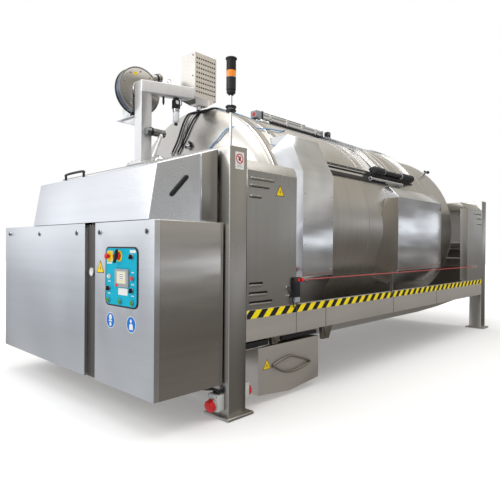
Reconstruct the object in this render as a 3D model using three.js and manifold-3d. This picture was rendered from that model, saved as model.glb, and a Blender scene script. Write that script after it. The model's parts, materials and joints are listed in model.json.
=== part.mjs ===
// A horizontal pneumatic grape press: a closed drum that turns between two end stands, with a
// door that slides along its top, a drive hood and two cabinets at the drive end, a juice tray
// with a pull-out drawer below, and a mast that carries a blower and its vent box.
// Millimetres, +Z up. X runs along the drum from the drive end, X = 0 at the near stand's face.
// The outer group then moves the whole press so that its middle stands on the origin.
import * as THREE from 'three';
import { ConvexGeometry } from 'three/addons/geometries/ConvexGeometry.js';
import { mergeVertices } from 'three/addons/utils/BufferGeometryUtils.js';
import Module from 'manifold-3d';

const wasm = await Module();
wasm.setup();

// ---- driving dimensions -------------------------------------------------------------------
const MIDDLE_X = 2217; // middle of the whole press, from the near stand's face
const HALF_WIDTH = 1200; // outer faces of the posts
const POST = 160; // square posts and beams
const POST_HEIGHT = 1764;
const FAR_POST_X = 4827;
const BASE_PLATE = 240;
const BASE_PLATE_THICKNESS = 20;
const SHEET = 4; // folded sheet steel
const GAP = 0.5; // between pieces that touch

const AXIS_Z = 1333; // drum axis
const DRUM_RADIUS = 1020;
const DRUM_WALL = 10;
const DRUM_START = 704; // seams between the cylinder and its domed ends
const DRUM_END = 4200;
const DOME_DEPTH = 220;
const SHAFT_RADIUS = 90;

const DOOR = { start: 2480, end: 3330, inner: 1040, outer: 1052, rib: 1074, edge: 36 };
const OPENING = { start: 2560, end: 3250, halfWidth: 655 };

const CABINET = { front: -543, back: -10, bottom: 219, top: 1264, leaf: 40 };
const BAY = { right: -337, left: 1140 };
const CONTROL = { right: -1156, left: -482 };
const HOOD = { right: -1100, left: 520 };

const SKIRT = { bottom: 475, top: 686 };
const GUARD_TOP = 1710;
const GUARD_FOLD = 1625;

// ---- finishes -----------------------------------------------------------------------------
const finish = (color, roughness, metalness) =>
  new THREE.MeshStandardMaterial({ color, roughness, metalness });
const STEEL = finish(0xb9b7b1, 0.35, 1);
const BRIGHT_STEEL = finish(0xd2d3d4, 0.2, 1);
const CAST = finish(0x7d8084, 0.55, 0.6);
const DARK = finish(0x1c1c1e, 0.5, 0);
const RUBBER = finish(0xe9e4d4, 0.7, 0);
const RED = finish(0xc8201c, 0.35, 0);
const GREEN = finish(0x1f9d4c, 0.35, 0);
const TEAL = finish(0x2aa9a4, 0.4, 0);
const ORANGE = finish(0xf06a10, 0.25, 0);

// ---- solids -------------------------------------------------------------------------------
const X = new THREE.Vector3(1, 0, 0);
const Y = new THREE.Vector3(0, 1, 0);
const Z = new THREE.Vector3(0, 0, 1);

/** A closed three.js geometry as a manifold solid. */
function solid(geometry) {
  const bare = geometry.clone();
  bare.deleteAttribute('normal');
  bare.deleteAttribute('uv');
  const merged = mergeVertices(bare, 1e-3);
  const count = merged.attributes.position.count;
  const triangles = merged.index ? merged.index.array : Array.from({ length: count }, (_, i) => i);
  return new wasm.Manifold(new wasm.Mesh({
    numProp: 3,
    vertProperties: new Float32Array(merged.attributes.position.array),
    triVerts: new Uint32Array(triangles),
  }));
}

/** A manifold solid as a three.js geometry. */
function geometryOf(body) {
  const mesh = body.getMesh();
  const geometry = new THREE.BufferGeometry();
  geometry.setAttribute('position', new THREE.BufferAttribute(new Float32Array(mesh.vertProperties), 3));
  geometry.setIndex(new THREE.BufferAttribute(new Uint32Array(mesh.triVerts), 1));
  geometry.computeVertexNormals();
  return geometry;
}

const join = (first, ...rest) => rest.reduce((sum, body) => sum.add(body), first);
const cut = (first, ...rest) => rest.reduce((sum, body) => sum.subtract(body), first);

/** A box between two values on each axis. */
function block([x0, x1], [y0, y1], [z0, z1]) {
  const geometry = new THREE.BoxGeometry(x1 - x0, y1 - y0, z1 - z0);
  geometry.translate((x0 + x1) / 2, (y0 + y1) / 2, (z0 + z1) / 2);
  return solid(geometry);
}

/** A round bar between two points. */
function rod(from, to, radius, sides = 16, endRadius = radius) {
  const a = new THREE.Vector3(...from);
  const b = new THREE.Vector3(...to);
  const along = b.clone().sub(a);
  const geometry = new THREE.CylinderGeometry(endRadius, radius, along.length(), sides);
  geometry.applyQuaternion(new THREE.Quaternion().setFromUnitVectors(Y, along.clone().normalize()));
  geometry.translate(...a.add(b).multiplyScalar(0.5).toArray());
  return solid(geometry);
}

/** Puts an extrusion's own x, y and depth on the given three axes. */
function orient(geometry, across, up, along, start) {
  const place = new THREE.Matrix4().makeBasis(across, up, along);
  place.setPosition(along.clone().multiplyScalar(start));
  return geometry.applyMatrix4(place);
}

/** An outline in the Y-Z plane, drawn out along X. */
function prismX(shape, start, end, curveSegments = 12) {
  const options = { depth: end - start, bevelEnabled: false, curveSegments };
  return solid(orient(new THREE.ExtrudeGeometry(shape, options), Y, Z, X, start));
}

/** An outline in the X-Z plane, drawn out along Y. */
function prismY(shape, start, end) {
  const options = { depth: end - start, bevelEnabled: false };
  return solid(orient(new THREE.ExtrudeGeometry(shape, options), X, Z, Y.clone().negate(), -end));
}

const outline = (points) => new THREE.Shape(points.map(([u, v]) => new THREE.Vector2(u, v)));
const degrees = (angle) => (angle * Math.PI) / 180;

/** A curved plate on the drum: radii, angles up from the -Y side in degrees, and its X range. */
function arcPlate([inner, outer], [from, to], [start, end], curveSegments = 16) {
  const shape = new THREE.Shape();
  const first = Math.PI - degrees(from);
  const last = Math.PI - degrees(to);
  shape.absarc(0, AXIS_Z, outer, first, last, true);
  shape.absarc(0, AXIS_Z, inner, last, first, false);
  return prismX(shape, start, end, curveSegments);
}

/** A solid of revolution about the drum axis, from (x, radius) points that start and end at radius 0. */
function turned(profile, sides) {
  const geometry = new THREE.LatheGeometry(profile.map(([x, r]) => new THREE.Vector2(r, x)), sides);
  geometry.rotateZ(-Math.PI / 2);
  geometry.translate(0, 0, AXIS_Z);
  return solid(geometry);
}

const mirrorY = (body) => body.mirror([0, 1, 0]);

const press = new THREE.Group();
press.position.x = -MIDDLE_X;

function add(name, body, material) {
  const mesh = new THREE.Mesh(geometryOf(body), material);
  mesh.name = name;
  press.add(mesh);
}

/** The right piece is on the -Y side, and its mirror is the left one. */
function addPair(name, body, material) {
  add(`${name}_right`, body, material);
  add(`${name}_left`, mirrorY(body), material);
}

// ---- end stands ---------------------------------------------------------------------------
function endStand(postX, beams) {
  const inside = HALF_WIDTH - POST;
  const foot = BASE_PLATE_THICKNESS - 1;
  const underside = beams[beams.length - 1][0];
  const frame = outline([
    [-HALF_WIDTH, foot], [-inside, foot], [-inside, underside], [inside, underside],
    [inside, foot], [HALF_WIDTH, foot], [HALF_WIDTH, POST_HEIGHT], [-HALF_WIDTH, POST_HEIGHT],
  ]);
  for (let i = 1; i < beams.length; i += 1) {
    const [low, high] = [beams[i][1], beams[i - 1][0]];
    frame.holes.push(outline([[-inside, low], [-inside, high], [inside, high], [inside, low]]));
  }
  const reach = (BASE_PLATE - POST) / 2;
  const plates = [-HALF_WIDTH - reach, inside - reach].map((start) =>
    block([postX - reach, postX + POST + reach], [start, start + BASE_PLATE], [0, BASE_PLATE_THICKNESS]));
  return join(prismX(frame, postX, postX + POST), ...plates);
}

const BEARING_BEAM_TOP = 1190;
add('near_stand', endStand(0, [[1604, POST_HEIGHT], [1030, BEARING_BEAM_TOP], [240, 400]]), STEEL);
add('far_stand', endStand(FAR_POST_X, [[1640, POST_HEIGHT], [1100, BEARING_BEAM_TOP], [850, 970]]), STEEL);

function bearing(postX) {
  const foot = block([postX + 25, postX + 135], [-230, 230], [BEARING_BEAM_TOP + GAP, BEARING_BEAM_TOP + 30]);
  const housing = rod([postX + 30, 0, AXIS_Z], [postX + 130, 0, AXIS_Z], 140, 24);
  const neck = block([postX + 30, postX + 130], [-140, 140], [BEARING_BEAM_TOP + 20, AXIS_Z]);
  const bore = rod([postX, 0, AXIS_Z], [postX + POST, 0, AXIS_Z], SHAFT_RADIUS + 2, 32);
  return cut(join(foot, housing, neck), bore);
}
add('near_bearing', bearing(0), CAST);
add('far_bearing', bearing(FAR_POST_X), CAST);

// ---- side skirts and guards ---------------------------------------------------------------
const BETWEEN_STANDS = [POST + GAP, FAR_POST_X - GAP];

function sideSkirt() {
  const outer = -HALF_WIDTH;
  const plate = block(BETWEEN_STANDS, [outer, outer + SHEET], [SKIRT.bottom, SKIRT.top]);
  const topFlange = block(BETWEEN_STANDS, [outer, outer + 30], [SKIRT.top - SHEET, SKIRT.top]);
  const bottomFlange = block(BETWEEN_STANDS, [outer, outer + 20], [SKIRT.bottom, SKIRT.bottom + SHEET]);
  return join(plate, topFlange, bottomFlange);
}
addPair('side_skirt', sideSkirt(), STEEL);

/** An upright folded sheet whose top leans in over the drum. */
function sideGuard(start, end, edgeAtEnd) {
  const outer = -HALF_WIDTH;
  const lean = 80;
  const section = outline([
    [outer, SKIRT.top + GAP], [outer + SHEET, SKIRT.top + GAP], [outer + SHEET, GUARD_FOLD - 1],
    [outer + lean, GUARD_TOP - SHEET], [outer + lean, GUARD_TOP], [outer, GUARD_FOLD],
  ]);
  const [edge, inward] = edgeAtEnd ? [end, end - SHEET] : [start, start + SHEET];
  const returnEdge = block([Math.min(edge, inward), Math.max(edge, inward)], [outer, outer + 30],
    [SKIRT.top + GAP, GUARD_FOLD]);
  return join(prismX(section, start, end), returnEdge);
}
addPair('near_guard', sideGuard(POST + GAP, 750, true), STEEL);
addPair('far_guard', sideGuard(4200, FAR_POST_X - GAP, false), STEEL);

// ---- juice tray and drawer ----------------------------------------------------------------
// The tray follows the swept circle of the drum and falls to its middle line.
const TRAY_RIM = [HALF_WIDTH - SHEET - GAP, 530];
const TRAY_HALF = [TRAY_RIM, [1120, 500], [600, 262], [300, 148], [0, 116]];
const TRAY_OUTLET = { x: 690, radius: 60 };

function juiceTray() {
  const left = TRAY_HALF;
  const right = TRAY_HALF.slice(0, -1).map(([y, z]) => [-y, z]).reverse();
  const top = [...left, ...right];
  const under = top.map(([y, z]) => [y, z - SHEET]).reverse();
  const length = [POST + 40, FAR_POST_X - 40];
  const trough = prismX(outline([...top, ...under]), ...length);
  const ends = length.map((x, i) => {
    const wall = i === 0 ? [x, x + SHEET] : [x - SHEET, x];
    const rimHeight = 360;
    const inside = top.filter(([, z]) => z < rimHeight);
    const crossing = 600 + ((rimHeight - 262) * (1120 - 600)) / (500 - 262);
    const points = [[crossing, rimHeight], ...inside, [-crossing, rimHeight]];
    return prismX(outline(points.map(([y, z]) => [y, z - 1])), ...wall);
  });
  const outlet = rod([TRAY_OUTLET.x, 0, 60], [TRAY_OUTLET.x, 0, 160], TRAY_OUTLET.radius, 16);
  return cut(join(trough, ...ends), outlet);
}
add('juice_tray', juiceTray(), STEEL);

const DRAWER = { start: 335, end: 1050, front: -1150, back: 110, keelX: 680, keelZ: 32, floor: 66 };

function drawer() {
  const sides = (inset, raise) => outline([
    [DRAWER.front + inset, 20], [DRAWER.back - inset, 20], [DRAWER.back - inset, 96 + raise],
    [0, 96 + raise], [-300, 126 + raise], [-600, 236 + raise], [-950, 384 + raise],
    [DRAWER.front + inset, 400 + raise],
  ]);
  const keel = (inset) => outline([
    [DRAWER.start + inset, 600], [DRAWER.start + inset, DRAWER.floor + inset],
    [DRAWER.keelX, DRAWER.keelZ + inset], [DRAWER.end - inset, DRAWER.floor + inset],
    [DRAWER.end - inset, 600],
  ]);
  const body = (inset, raise) => prismX(sides(inset, raise), DRAWER.start + inset, DRAWER.end - inset)
    .intersect(prismY(keel(inset), DRAWER.front + inset, DRAWER.back - inset));
  const shell = cut(body(0, 0), body(SHEET, 200));
  const grip = DRAWER.front - 72;
  const [left, right, height] = [490, 740, 265];
  const foot = (x) => rod([x, DRAWER.front + 1, height], [x, grip, height], 8, 10);
  const bar = rod([left - 8, grip, height], [right + 8, grip, height], 8, 10);
  return join(shell, foot(left), foot(right), bar);
}
add('drain_drawer', drawer(), STEEL);

// ---- cabinets and hood --------------------------------------------------------------------
const CABINET_DEPTH = [CABINET.front + CABINET.leaf + 1, CABINET.back];
const CABINET_HEIGHT = [CABINET.bottom, CABINET.top];
const inset = ([low, high], by) => [low + by, high - by];

// Through the back of the drive bay and of the hood.
const SHAFT_HOLE = rod([-60, 0, AXIS_Z], [0, 0, AXIS_Z], SHAFT_RADIUS + 20, 24);

function driveBay() {
  const width = [BAY.right, BAY.left];
  const body = block(CABINET_DEPTH, width, CABINET_HEIGHT);
  const room = block([CABINET_DEPTH[0] - 1, CABINET.back - SHEET], inset(width, SHEET),
    inset(CABINET_HEIGHT, SHEET));
  const wayUp = block([-500, -22], [BAY.right + 20, HOOD.left - 20], [CABINET.top - 50, CABINET.top + 1]);
  const strip = block([-490, -486], [CONTROL.left + 1, BAY.right + 1], CABINET_HEIGHT);
  const gauge = rod([-515, -410, 934], [-489, -410, 934], 28, 20);
  return join(cut(body, room, wayUp, SHAFT_HOLE), strip, gauge);
}
add('drive_bay', driveBay(), STEEL);

function controlCabinet() {
  const width = [CONTROL.right, CONTROL.left];
  const body = block(CABINET_DEPTH, width, CABINET_HEIGHT);
  const room = block([CABINET_DEPTH[0] - 1, CABINET.back - SHEET], inset(width, SHEET),
    inset(CABINET_HEIGHT, SHEET));
  return cut(body, room);
}
add('control_cabinet', controlCabinet(), STEEL);

/** A folded pan that closes a cabinet's front. */
function leaf(width) {
  const depth = [CABINET.front, CABINET.front + CABINET.leaf];
  const body = block(depth, width, inset(CABINET_HEIGHT, 1));
  const back = block([CABINET.front + 3, depth[1] + 1], inset(width, 3), inset(CABINET_HEIGHT, 4));
  return cut(body, back);
}
add('bay_cover', leaf([BAY.right, BAY.left]), STEEL);

// Panel devices: where each one sits on the door, as (y, z).
const DEVICES = {
  emergency_button: [-675, 1045],
  main_switch: [-792, 1048],
  selector_mode: [-936, 1045],
  stop_button: [-945, 917],
  selector_light: [-675, 843],
  selector_turn: [-939, 844],
  start_button_1: [-672, 770],
  start_button_2: [-807, 770],
  start_button_3: [-941, 770],
};
const STEM_RADIUS = 10;
const DEVICE_HOLES = Object.values(DEVICES).map(([y, z]) => rod([-560, y, z], [-535, y, z], STEM_RADIUS + 2, 8));
add('control_door', cut(leaf([CONTROL.right, CONTROL.left]), ...DEVICE_HOLES), STEEL);

const PANEL = { front: CABINET.front - 4, y: [-997, -627], z: [705, 1105] };
function operatorPanel() {
  const plate = block([PANEL.front, CABINET.front - GAP], PANEL.y, PANEL.z);
  const screen = block([PANEL.front - 12, PANEL.front + 1], [-897, -734], [870, 976]);
  const lamp = rod([PANEL.front - 14, -680, 919], [PANEL.front + 1, -680, 919], 14, 16);
  return join(cut(plate, ...DEVICE_HOLES), screen, lamp);
}
add('operator_panel', operatorPanel(), TEAL);

/** A cap that stands 5 mm off the plate on a stem through it. */
function device([y, z], capRadius, capLength, sides = 20) {
  const capBack = PANEL.front - 5;
  const cap = rod([capBack, y, z], [capBack - capLength, y, z], capRadius, sides);
  const stem = rod([capBack - 1, y, z], [CABINET.front + 25, y, z], STEM_RADIUS, 8);
  return join(cap, stem);
}
/** A thumb piece on top of a turning device, standing upright at rest. */
const thumb = ([y, z], front, halfLength, halfWidth) =>
  block([front, PANEL.front - 8], [y - halfWidth, y + halfWidth], [z - halfLength, z + halfLength]);

add('emergency_button', device(DEVICES.emergency_button, 20, 25), RED);
add('main_switch', join(device(DEVICES.main_switch, 24, 12),
  thumb(DEVICES.main_switch, -593, 30, 8)), RED);
for (const name of ['selector_mode', 'selector_light', 'selector_turn']) {
  add(name, join(device(DEVICES[name], 14, 8), thumb(DEVICES[name], -577, 13, 4)), DARK);
}
for (const name of ['start_button_1', 'start_button_2', 'start_button_3']) {
  add(name, device(DEVICES[name], 13, 8), GREEN);
}
add('stop_button', device(DEVICES.stop_button, 13, 8), RED);

function driveHood() {
  const skin = (t) => outline([
    [CABINET.front - 3 + t, CABINET.top + GAP - (t ? 10 : 0)], [-14 - t, CABINET.top + GAP - (t ? 10 : 0)],
    [-18 - t, 1749 - t], [-489 + t, 1595 - t],
  ]);
  const outside = prismY(skin(0), HOOD.right, HOOD.left);
  const inside = prismY(skin(SHEET), HOOD.right + SHEET, HOOD.left - SHEET);
  return cut(outside, inside, SHAFT_HOLE);
}
add('drive_hood', driveHood(), STEEL);

// ---- drum drive ---------------------------------------------------------------------------
const SPROCKET_X = [-125, -105];
const DRUM_SPROCKET = { teeth: 23, radius: 230 };
const MOTOR_SPROCKET = { teeth: 7, radius: 70, z: 620 };
const TOOTH = 9;

/** A toothed wheel in the Y-Z plane. */
function sprocket({ teeth, radius }, z) {
  const points = [];
  for (let i = 0; i < teeth; i += 1) {
    const pitch = (2 * Math.PI) / teeth;
    const corners = [[-0.32, radius - TOOTH], [-0.14, radius], [0.14, radius], [0.32, radius - TOOTH]];
    for (const [step, r] of corners) {
      const angle = (i + step) * pitch;
      points.push([r * Math.cos(angle), z + r * Math.sin(angle)]);
    }
  }
  return prismX(outline(points), ...SPROCKET_X);
}

const shaftCut = rod([-300, 0, AXIS_Z], [100, 0, AXIS_Z], SHAFT_RADIUS + GAP, 32);
add('drum_sprocket', cut(sprocket(DRUM_SPROCKET, AXIS_Z), shaftCut), CAST);

const motorShaft = rod([-148, 0, MOTOR_SPROCKET.z], [-85, 0, MOTOR_SPROCKET.z], 20, 16);
add('motor_sprocket', join(sprocket(MOTOR_SPROCKET, MOTOR_SPROCKET.z), motorShaft), CAST);

/** The outline of a band around the two sprockets, this far outside their teeth. */
function chainOutline(Path, offset) {
  const upper = DRUM_SPROCKET.radius + offset;
  const lower = MOTOR_SPROCKET.radius + offset;
  const lean = Math.asin((upper - lower) / (AXIS_Z - MOTOR_SPROCKET.z));
  const path = new Path();
  path.absarc(0, AXIS_Z, upper, -lean, Math.PI + lean, false);
  path.absarc(0, MOTOR_SPROCKET.z, lower, Math.PI + lean, 2 * Math.PI - lean, false);
  return path;
}
const chainShape = chainOutline(THREE.Shape, 14);
chainShape.holes.push(chainOutline(THREE.Path, 3));
add('drive_chain', prismX(chainShape, -121, -109, 14), DARK);

function gearmotor() {
  const gearbox = block([-330, -150], [-95, 95], [530, 715]);
  const pedestal = block([-320, -160], [-80, 80], [CABINET.bottom + SHEET + GAP, 531]);
  const motor = rod([-240, 94, 620], [-240, 410, 620], 85, 20);
  return join(gearbox, pedestal, motor);
}
add('gearmotor', gearmotor(), CAST);

// ---- drum ---------------------------------------------------------------------------------
const DRUM_SIDES = 48;
const DOME_STEPS = 6;

/** The drum's outline as (x, radius) points, this far inside its outer face. */
function drumProfile(depth) {
  const radius = DRUM_RADIUS - depth;
  const dome = DOME_DEPTH - depth;
  const points = [];
  for (let i = 0; i <= DOME_STEPS; i += 1) {
    const angle = (i / DOME_STEPS) * (Math.PI / 2);
    points.push([DRUM_START - dome * Math.cos(angle), i === 0 ? 0 : radius * Math.sin(angle)]);
  }
  const far = points.map(([x, r]) => [DRUM_END + DRUM_START - x, r]).reverse();
  return [...points, ...far];
}
const drumOutside = turned(drumProfile(0), DRUM_SIDES);
const drumInside = turned(drumProfile(DRUM_WALL), DRUM_SIDES);
const doorway = block([OPENING.start, OPENING.end], [-OPENING.halfWidth, OPENING.halfWidth],
  [AXIS_Z + 600, AXIS_Z + DRUM_RADIUS + 50]);
add('drum_shell', cut(drumOutside, drumInside, doorway), STEEL);

/** What stands on the shell is trimmed to this cylinder. */
const shellTrim = rod([0, 0, AXIS_Z], [5000, 0, AXIS_Z], DRUM_RADIUS + GAP, DRUM_SIDES * 2);

function trunnion(flangeFace, flangeBack, shaftEnd) {
  const flange = rod([flangeFace, 0, AXIS_Z], [flangeBack, 0, AXIS_Z], 260, 24);
  return join(flange, rod([flangeFace, 0, AXIS_Z], [shaftEnd, 0, AXIS_Z], SHAFT_RADIUS, 32));
}
add('drive_trunnion', trunnion(DRUM_START - DOME_DEPTH - GAP, 440, -170), CAST);
add('outlet_trunnion', trunnion(DRUM_END + DOME_DEPTH + GAP, 4464, 5000), CAST);

add('membrane', arcPlate([994, 1000], [182, 358], [780, 4120], 20), RUBBER);

/** A hollow sheet casing against the drum's side, from the corner points of its -Y half. */
function casing(corners) {
  const hull = (points) => solid(new ConvexGeometry(points.map((point) => new THREE.Vector3(...point))));
  const xs = corners.map(([x]) => x);
  const middleX = (Math.min(...xs) + Math.max(...xs)) / 2;
  const shrunk = corners.map(([x, y, z]) => [
    x + Math.sign(middleX - x) * SHEET, y + SHEET * 1.5, z + Math.sign(AXIS_Z - z) * SHEET,
  ]);
  return cut(hull(corners), hull(shrunk), shellTrim);
}

const nearCasing = [];
for (const x of [902, 1324]) {
  nearCasing.push([x, -1100, 1710], [x, -1100, 880], [x, -935, 2030], [x, -935, 636]);
  nearCasing.push([x, -640, 2030], [x, -640, 636]);
}
nearCasing.push([650, -800, 1740], [650, -800, 926]); // foot of the hipped end plate
addPair('near_casing', casing(nearCasing), STEEL);

const farCasing = [];
for (const x of [2544, 3670]) {
  farCasing.push([x, -1095, 1650], [x, -1095, 874], [x, -988, 1757], [x, -960, 720]);
  farCasing.push([x, -640, 1757], [x, -640, 720]);
}
addPair('far_casing', casing(farCasing), STEEL);

// ---- drum door ----------------------------------------------------------------------------
function doorRail() {
  const upper = arcPlate([DRUM_RADIUS + GAP, 1036], [31, 34], [1540, DOOR.end], 3);
  const lower = arcPlate([DRUM_RADIUS + GAP, 1036], [26, 28.4], [1540, 2640], 3);
  const base = arcPlate([DRUM_RADIUS + GAP, 1024], [26, 34], [1540, 2640], 6);
  return join(upper, lower, base);
}
addPair('door_rail', doorRail(), DARK);

function drumDoor() {
  const around = [DOOR.edge, 180 - DOOR.edge];
  const plate = arcPlate([DOOR.inner, DOOR.outer], around, [DOOR.start, DOOR.end], 18);
  const rib = (from, to) => arcPlate([DOOR.outer - 2, DOOR.rib], around, [from, to], 18);
  const bracket = block([2640, 2700], [-135, -82], [AXIS_Z + DOOR.inner + 5, 2500]);
  return join(plate, rib(DOOR.start, DOOR.start + 24), rib(DOOR.end - 24, DOOR.end), bracket);
}
add('drum_door', drumDoor(), STEEL);

function doorCarriage() {
  const around = [30.4, DOOR.edge - 0.4];
  const bar = arcPlate([1038, 1062], around, [2350, 3250], 4);
  const rollers = [[2350, 2550], [2960, 3250]].map((range) => arcPlate([1060, 1090], around, range, 4));
  return join(bar, ...rollers);
}
addPair('door_carriage', doorCarriage(), DARK);

function doorCylinder() {
  const barrel = block([1500, 2680], [-35, 35], [2455, 2525]);
  const cap = block([1480, 1560], [-45, 45], [2445, 2535]);
  const stand = cut(block([1490, 1550], [-30, 30], [AXIS_Z + 1000, 2456]), shellTrim);
  return join(barrel, cap, stand);
}
add('door_cylinder', doorCylinder(), BRIGHT_STEEL);

/** The flat run of the cable chain, held off the shell on its own foot. */
function energyChain() {
  const run = block([1600, 2700], [-72, -44], [2414, 2446]);
  const foot = cut(block([1560, 1610], [-72, -44], [AXIS_Z + 1000, 2446]), shellTrim);
  return join(run, foot);
}
add('energy_chain', energyChain(), DARK);

// ---- mast, vent box and blower ------------------------------------------------------------
const MAST = { x: [45, 145], y: [-120, -20], top: 2450 };
const ARM = { length: 450, width: 95, bottom: 2355, turn: -20.7 };
const VENT = { x: [466, 706], y: [-279, -87], z: [2381, 2755] };

function mast() {
  const post = block(MAST.x, MAST.y, [POST_HEIGHT + 20, MAST.top]);
  const foot = block([5, 155], [-180, 40], [POST_HEIGHT + GAP, POST_HEIGHT + 16]);
  const step = block([25, 155], [-150, 10], [POST_HEIGHT + 15, POST_HEIGHT + 36]);
  const beam = new THREE.BoxGeometry(ARM.length + 40, ARM.width, MAST.top - ARM.bottom);
  beam.translate((ARM.length + 40) / 2, ARM.width / 2, (MAST.top + ARM.bottom) / 2);
  beam.rotateZ(degrees(ARM.turn));
  beam.translate(MAST.x[0], MAST.y[0], 0);
  const arm = cut(solid(beam), block([VENT.x[0] - GAP, 900], [-600, 200], [2300, 2500]));
  const shank = rod([282, -165, MAST.top - 1], [282, -165, MAST.top + 12], 6, 10);
  const ring = new THREE.TorusGeometry(20, 4.5, 8, 16);
  ring.rotateX(Math.PI / 2);
  ring.translate(282, -165, MAST.top + 32);
  return join(post, foot, step, arm, shank, solid(ring));
}
add('mast', mast(), STEEL);

function ventBox() {
  const outside = block(VENT.x, VENT.y, VENT.z);
  const inside = block(inset(VENT.x, SHEET), inset(VENT.y, SHEET), [VENT.z[0] - 5, VENT.z[1] - SHEET]);
  const [x0, x1] = VENT.x;
  const [y0, y1] = VENT.y;
  const funnel = (t, top) => solid(new ConvexGeometry([
    [x0 + t, y0 + t, top], [x1 - t, y0 + t, top], [x0 + t, y1 - t, top], [x1 - t, y1 - t, top],
    [550 + t, -220 + t, 2300], [630 - t, -220 + t, 2300], [550 + t, -150 - t, 2300], [630 - t, -150 - t, 2300],
  ].map((point) => new THREE.Vector3(...point))));
  const spoutEnd = block([556, 624], [-214, -156], [2290, 2310]);
  return cut(join(cut(outside, inside), cut(funnel(0, VENT.z[0] + 2), funnel(6, VENT.z[0] + 3))), spoutEnd);
}
add('vent_box', ventBox(), BRIGHT_STEEL);

const BLOWER = { x: 114, z: 2402, radius: 186, y: [0, 85] };
function blowerHousing() {
  const { x, z, radius, y } = BLOWER;
  const drum = rod([x, y[0], z], [x, y[1], z], radius, 32);
  const room = rod([x, y[0] + SHEET, z], [x, y[1] - SHEET, z], radius - SHEET, 32);
  const outletFrom = [150, 42, 2510];
  const outletTo = [332, 42, 2572];
  const pipe = rod(outletFrom, outletTo, 32, 16);
  const pipeBore = rod(outletFrom, [outletTo[0] + 19, 42, outletTo[2] + 6.5], 28, 16);
  const inlet = rod([x, y[0] - 1, z], [x, y[0] + 6, z], 60, 20);
  const shaftHole = rod([x, y[1] - 6, z], [x, y[1] + 1, z], 18, 16);
  const lug = block([60, 130], [MAST.y[1] + GAP, y[0] + 2], [2260, 2330]);
  return cut(join(drum, pipe, lug), room, pipeBore, inlet, shaftHole);
}
add('blower_housing', blowerHousing(), BRIGHT_STEEL);

function blowerImpeller() {
  const { x, z } = BLOWER;
  const parts = [rod([x, 68, z], [x, 73, z], 150, 24), rod([x, 20, z], [x, 84, z], 15, 12)];
  const blades = 8;
  for (let i = 0; i < blades; i += 1) {
    const blade = new THREE.BoxGeometry(110, 42, 4);
    blade.translate(90, 0, 0);
    blade.rotateY((i * 2 * Math.PI) / blades);
    blade.translate(x, 48, z);
    parts.push(solid(blade));
  }
  return join(...parts);
}
add('blower_impeller', blowerImpeller(), CAST);
add('blower_motor', rod([BLOWER.x, 85.5, BLOWER.z], [BLOWER.x, 250, BLOWER.z], 80, 20), CAST);

function filterRegulator() {
  const body = block([310, 376], [-212, -150], [2262, ARM.bottom - GAP]);
  const bowl = rod([343, -181, 2263], [343, -181, 2125], 24, 16);
  return join(body, bowl);
}
add('filter_regulator', filterRegulator(), DARK);

const VALVE = { y: -158, z: 2035, pivot: [175, 1998] };
function ventValve() {
  const body = rod([65, VALVE.y, VALVE.z], [240, VALVE.y, VALVE.z], 32, 20);
  const seat = block([65, 125], [VALVE.y, MAST.y[0] - GAP], [VALVE.z - 28, VALVE.z + 28]);
  return join(body, seat);
}
add('vent_valve', ventValve(), BRIGHT_STEEL);
add('valve_lever', join(
  rod([175, -203, 1998], [100, -203, 1812], 9, 12),
  rod([175, -212, 1998], [175, VALVE.y - 33, 1998], 16, 16),
), STEEL);

function stackLight() {
  const [x, y] = [POST / 2, -HALF_WIDTH + POST / 2];
  const parts = [
    rod([x, y, POST_HEIGHT + GAP], [x, y, POST_HEIGHT + 8], 34, 20),
    rod([x, y, POST_HEIGHT + 7], [x, y, 2121], 9, 12),
    rod([x, y, 2006], [x, y, 2042], 32, 20),
    rod([x, y, 2120], [x, y, 2377], 33, 24),
  ];
  return join(...parts);
}
add('stack_light', stackLight(), ORANGE);

// ---- rope-pull stop and power inlets --------------------------------------------------------
const ROPE = { y: -1218, z: 867 };
function ropeSwitch() {
  const body = block([640, 715], [-1234, -HALF_WIDTH - GAP], [700, 888]);
  const barrel = rod([714, ROPE.y, ROPE.z], [745, ROPE.y, ROPE.z], 15, 16);
  const bore = rod([690, ROPE.y, ROPE.z], [750, ROPE.y, ROPE.z], 9, 12);
  return cut(join(body, barrel), bore);
}
add('rope_switch', ropeSwitch(), DARK);

function pullRope() {
  const plunger = rod([700, ROPE.y, ROPE.z], [770, ROPE.y, ROPE.z], 7, 12);
  const rope = rod([769, ROPE.y, ROPE.z], [4560, ROPE.y, ROPE.z], 3, 8);
  const stop = rod([4550, ROPE.y, ROPE.z], [4580, ROPE.y, ROPE.z], 6, 10);
  return join(plunger, rope, stop);
}
add('pull_rope', pullRope(), RED);

/** A plate with a hole that the rope runs through. */
function ropeEye(x, foot) {
  const plate = block([x - 3, x + 3], [-1232, foot], [ROPE.z - 16, ROPE.z + 16]);
  return cut(plate, rod([x - 5, ROPE.y, ROPE.z], [x + 5, ROPE.y, ROPE.z], 5, 12));
}
const middleEye = join(
  ropeEye(2160, -1204),
  block([2157, 2163], [-1232, -1204], [SKIRT.top - 20, ROPE.z - 15]),
  block([2157, 2163], [-1205, -HALF_WIDTH - GAP], [SKIRT.top - 20, SKIRT.top]),
);
add('rope_eye_middle', middleEye, STEEL);
add('rope_eye_end', ropeEye(4530, -HALF_WIDTH - GAP), STEEL);

function powerInlet() {
  const body = block([-62, -GAP], [-1165, -1065], [50, 160]);
  return join(body, rod([-61, -1112, 100], [-112, -1112, 100], 38, 20));
}
add('power_inlet', powerInlet(), RED);

export default press;
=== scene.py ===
"""A horizontal pneumatic grape press in ground stainless steel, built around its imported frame.

Metres, +Z up. X runs along the drum from the drive end. The operator's side is -Y.
Heights and widths are the frame's own, and p(x, y, z) counts x from the near posts' face.
"""
import json
from math import asin, atan2, cos, degrees, pi, radians, sin, sqrt

import bmesh
import bpy
from mathutils import Matrix, Vector

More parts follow.
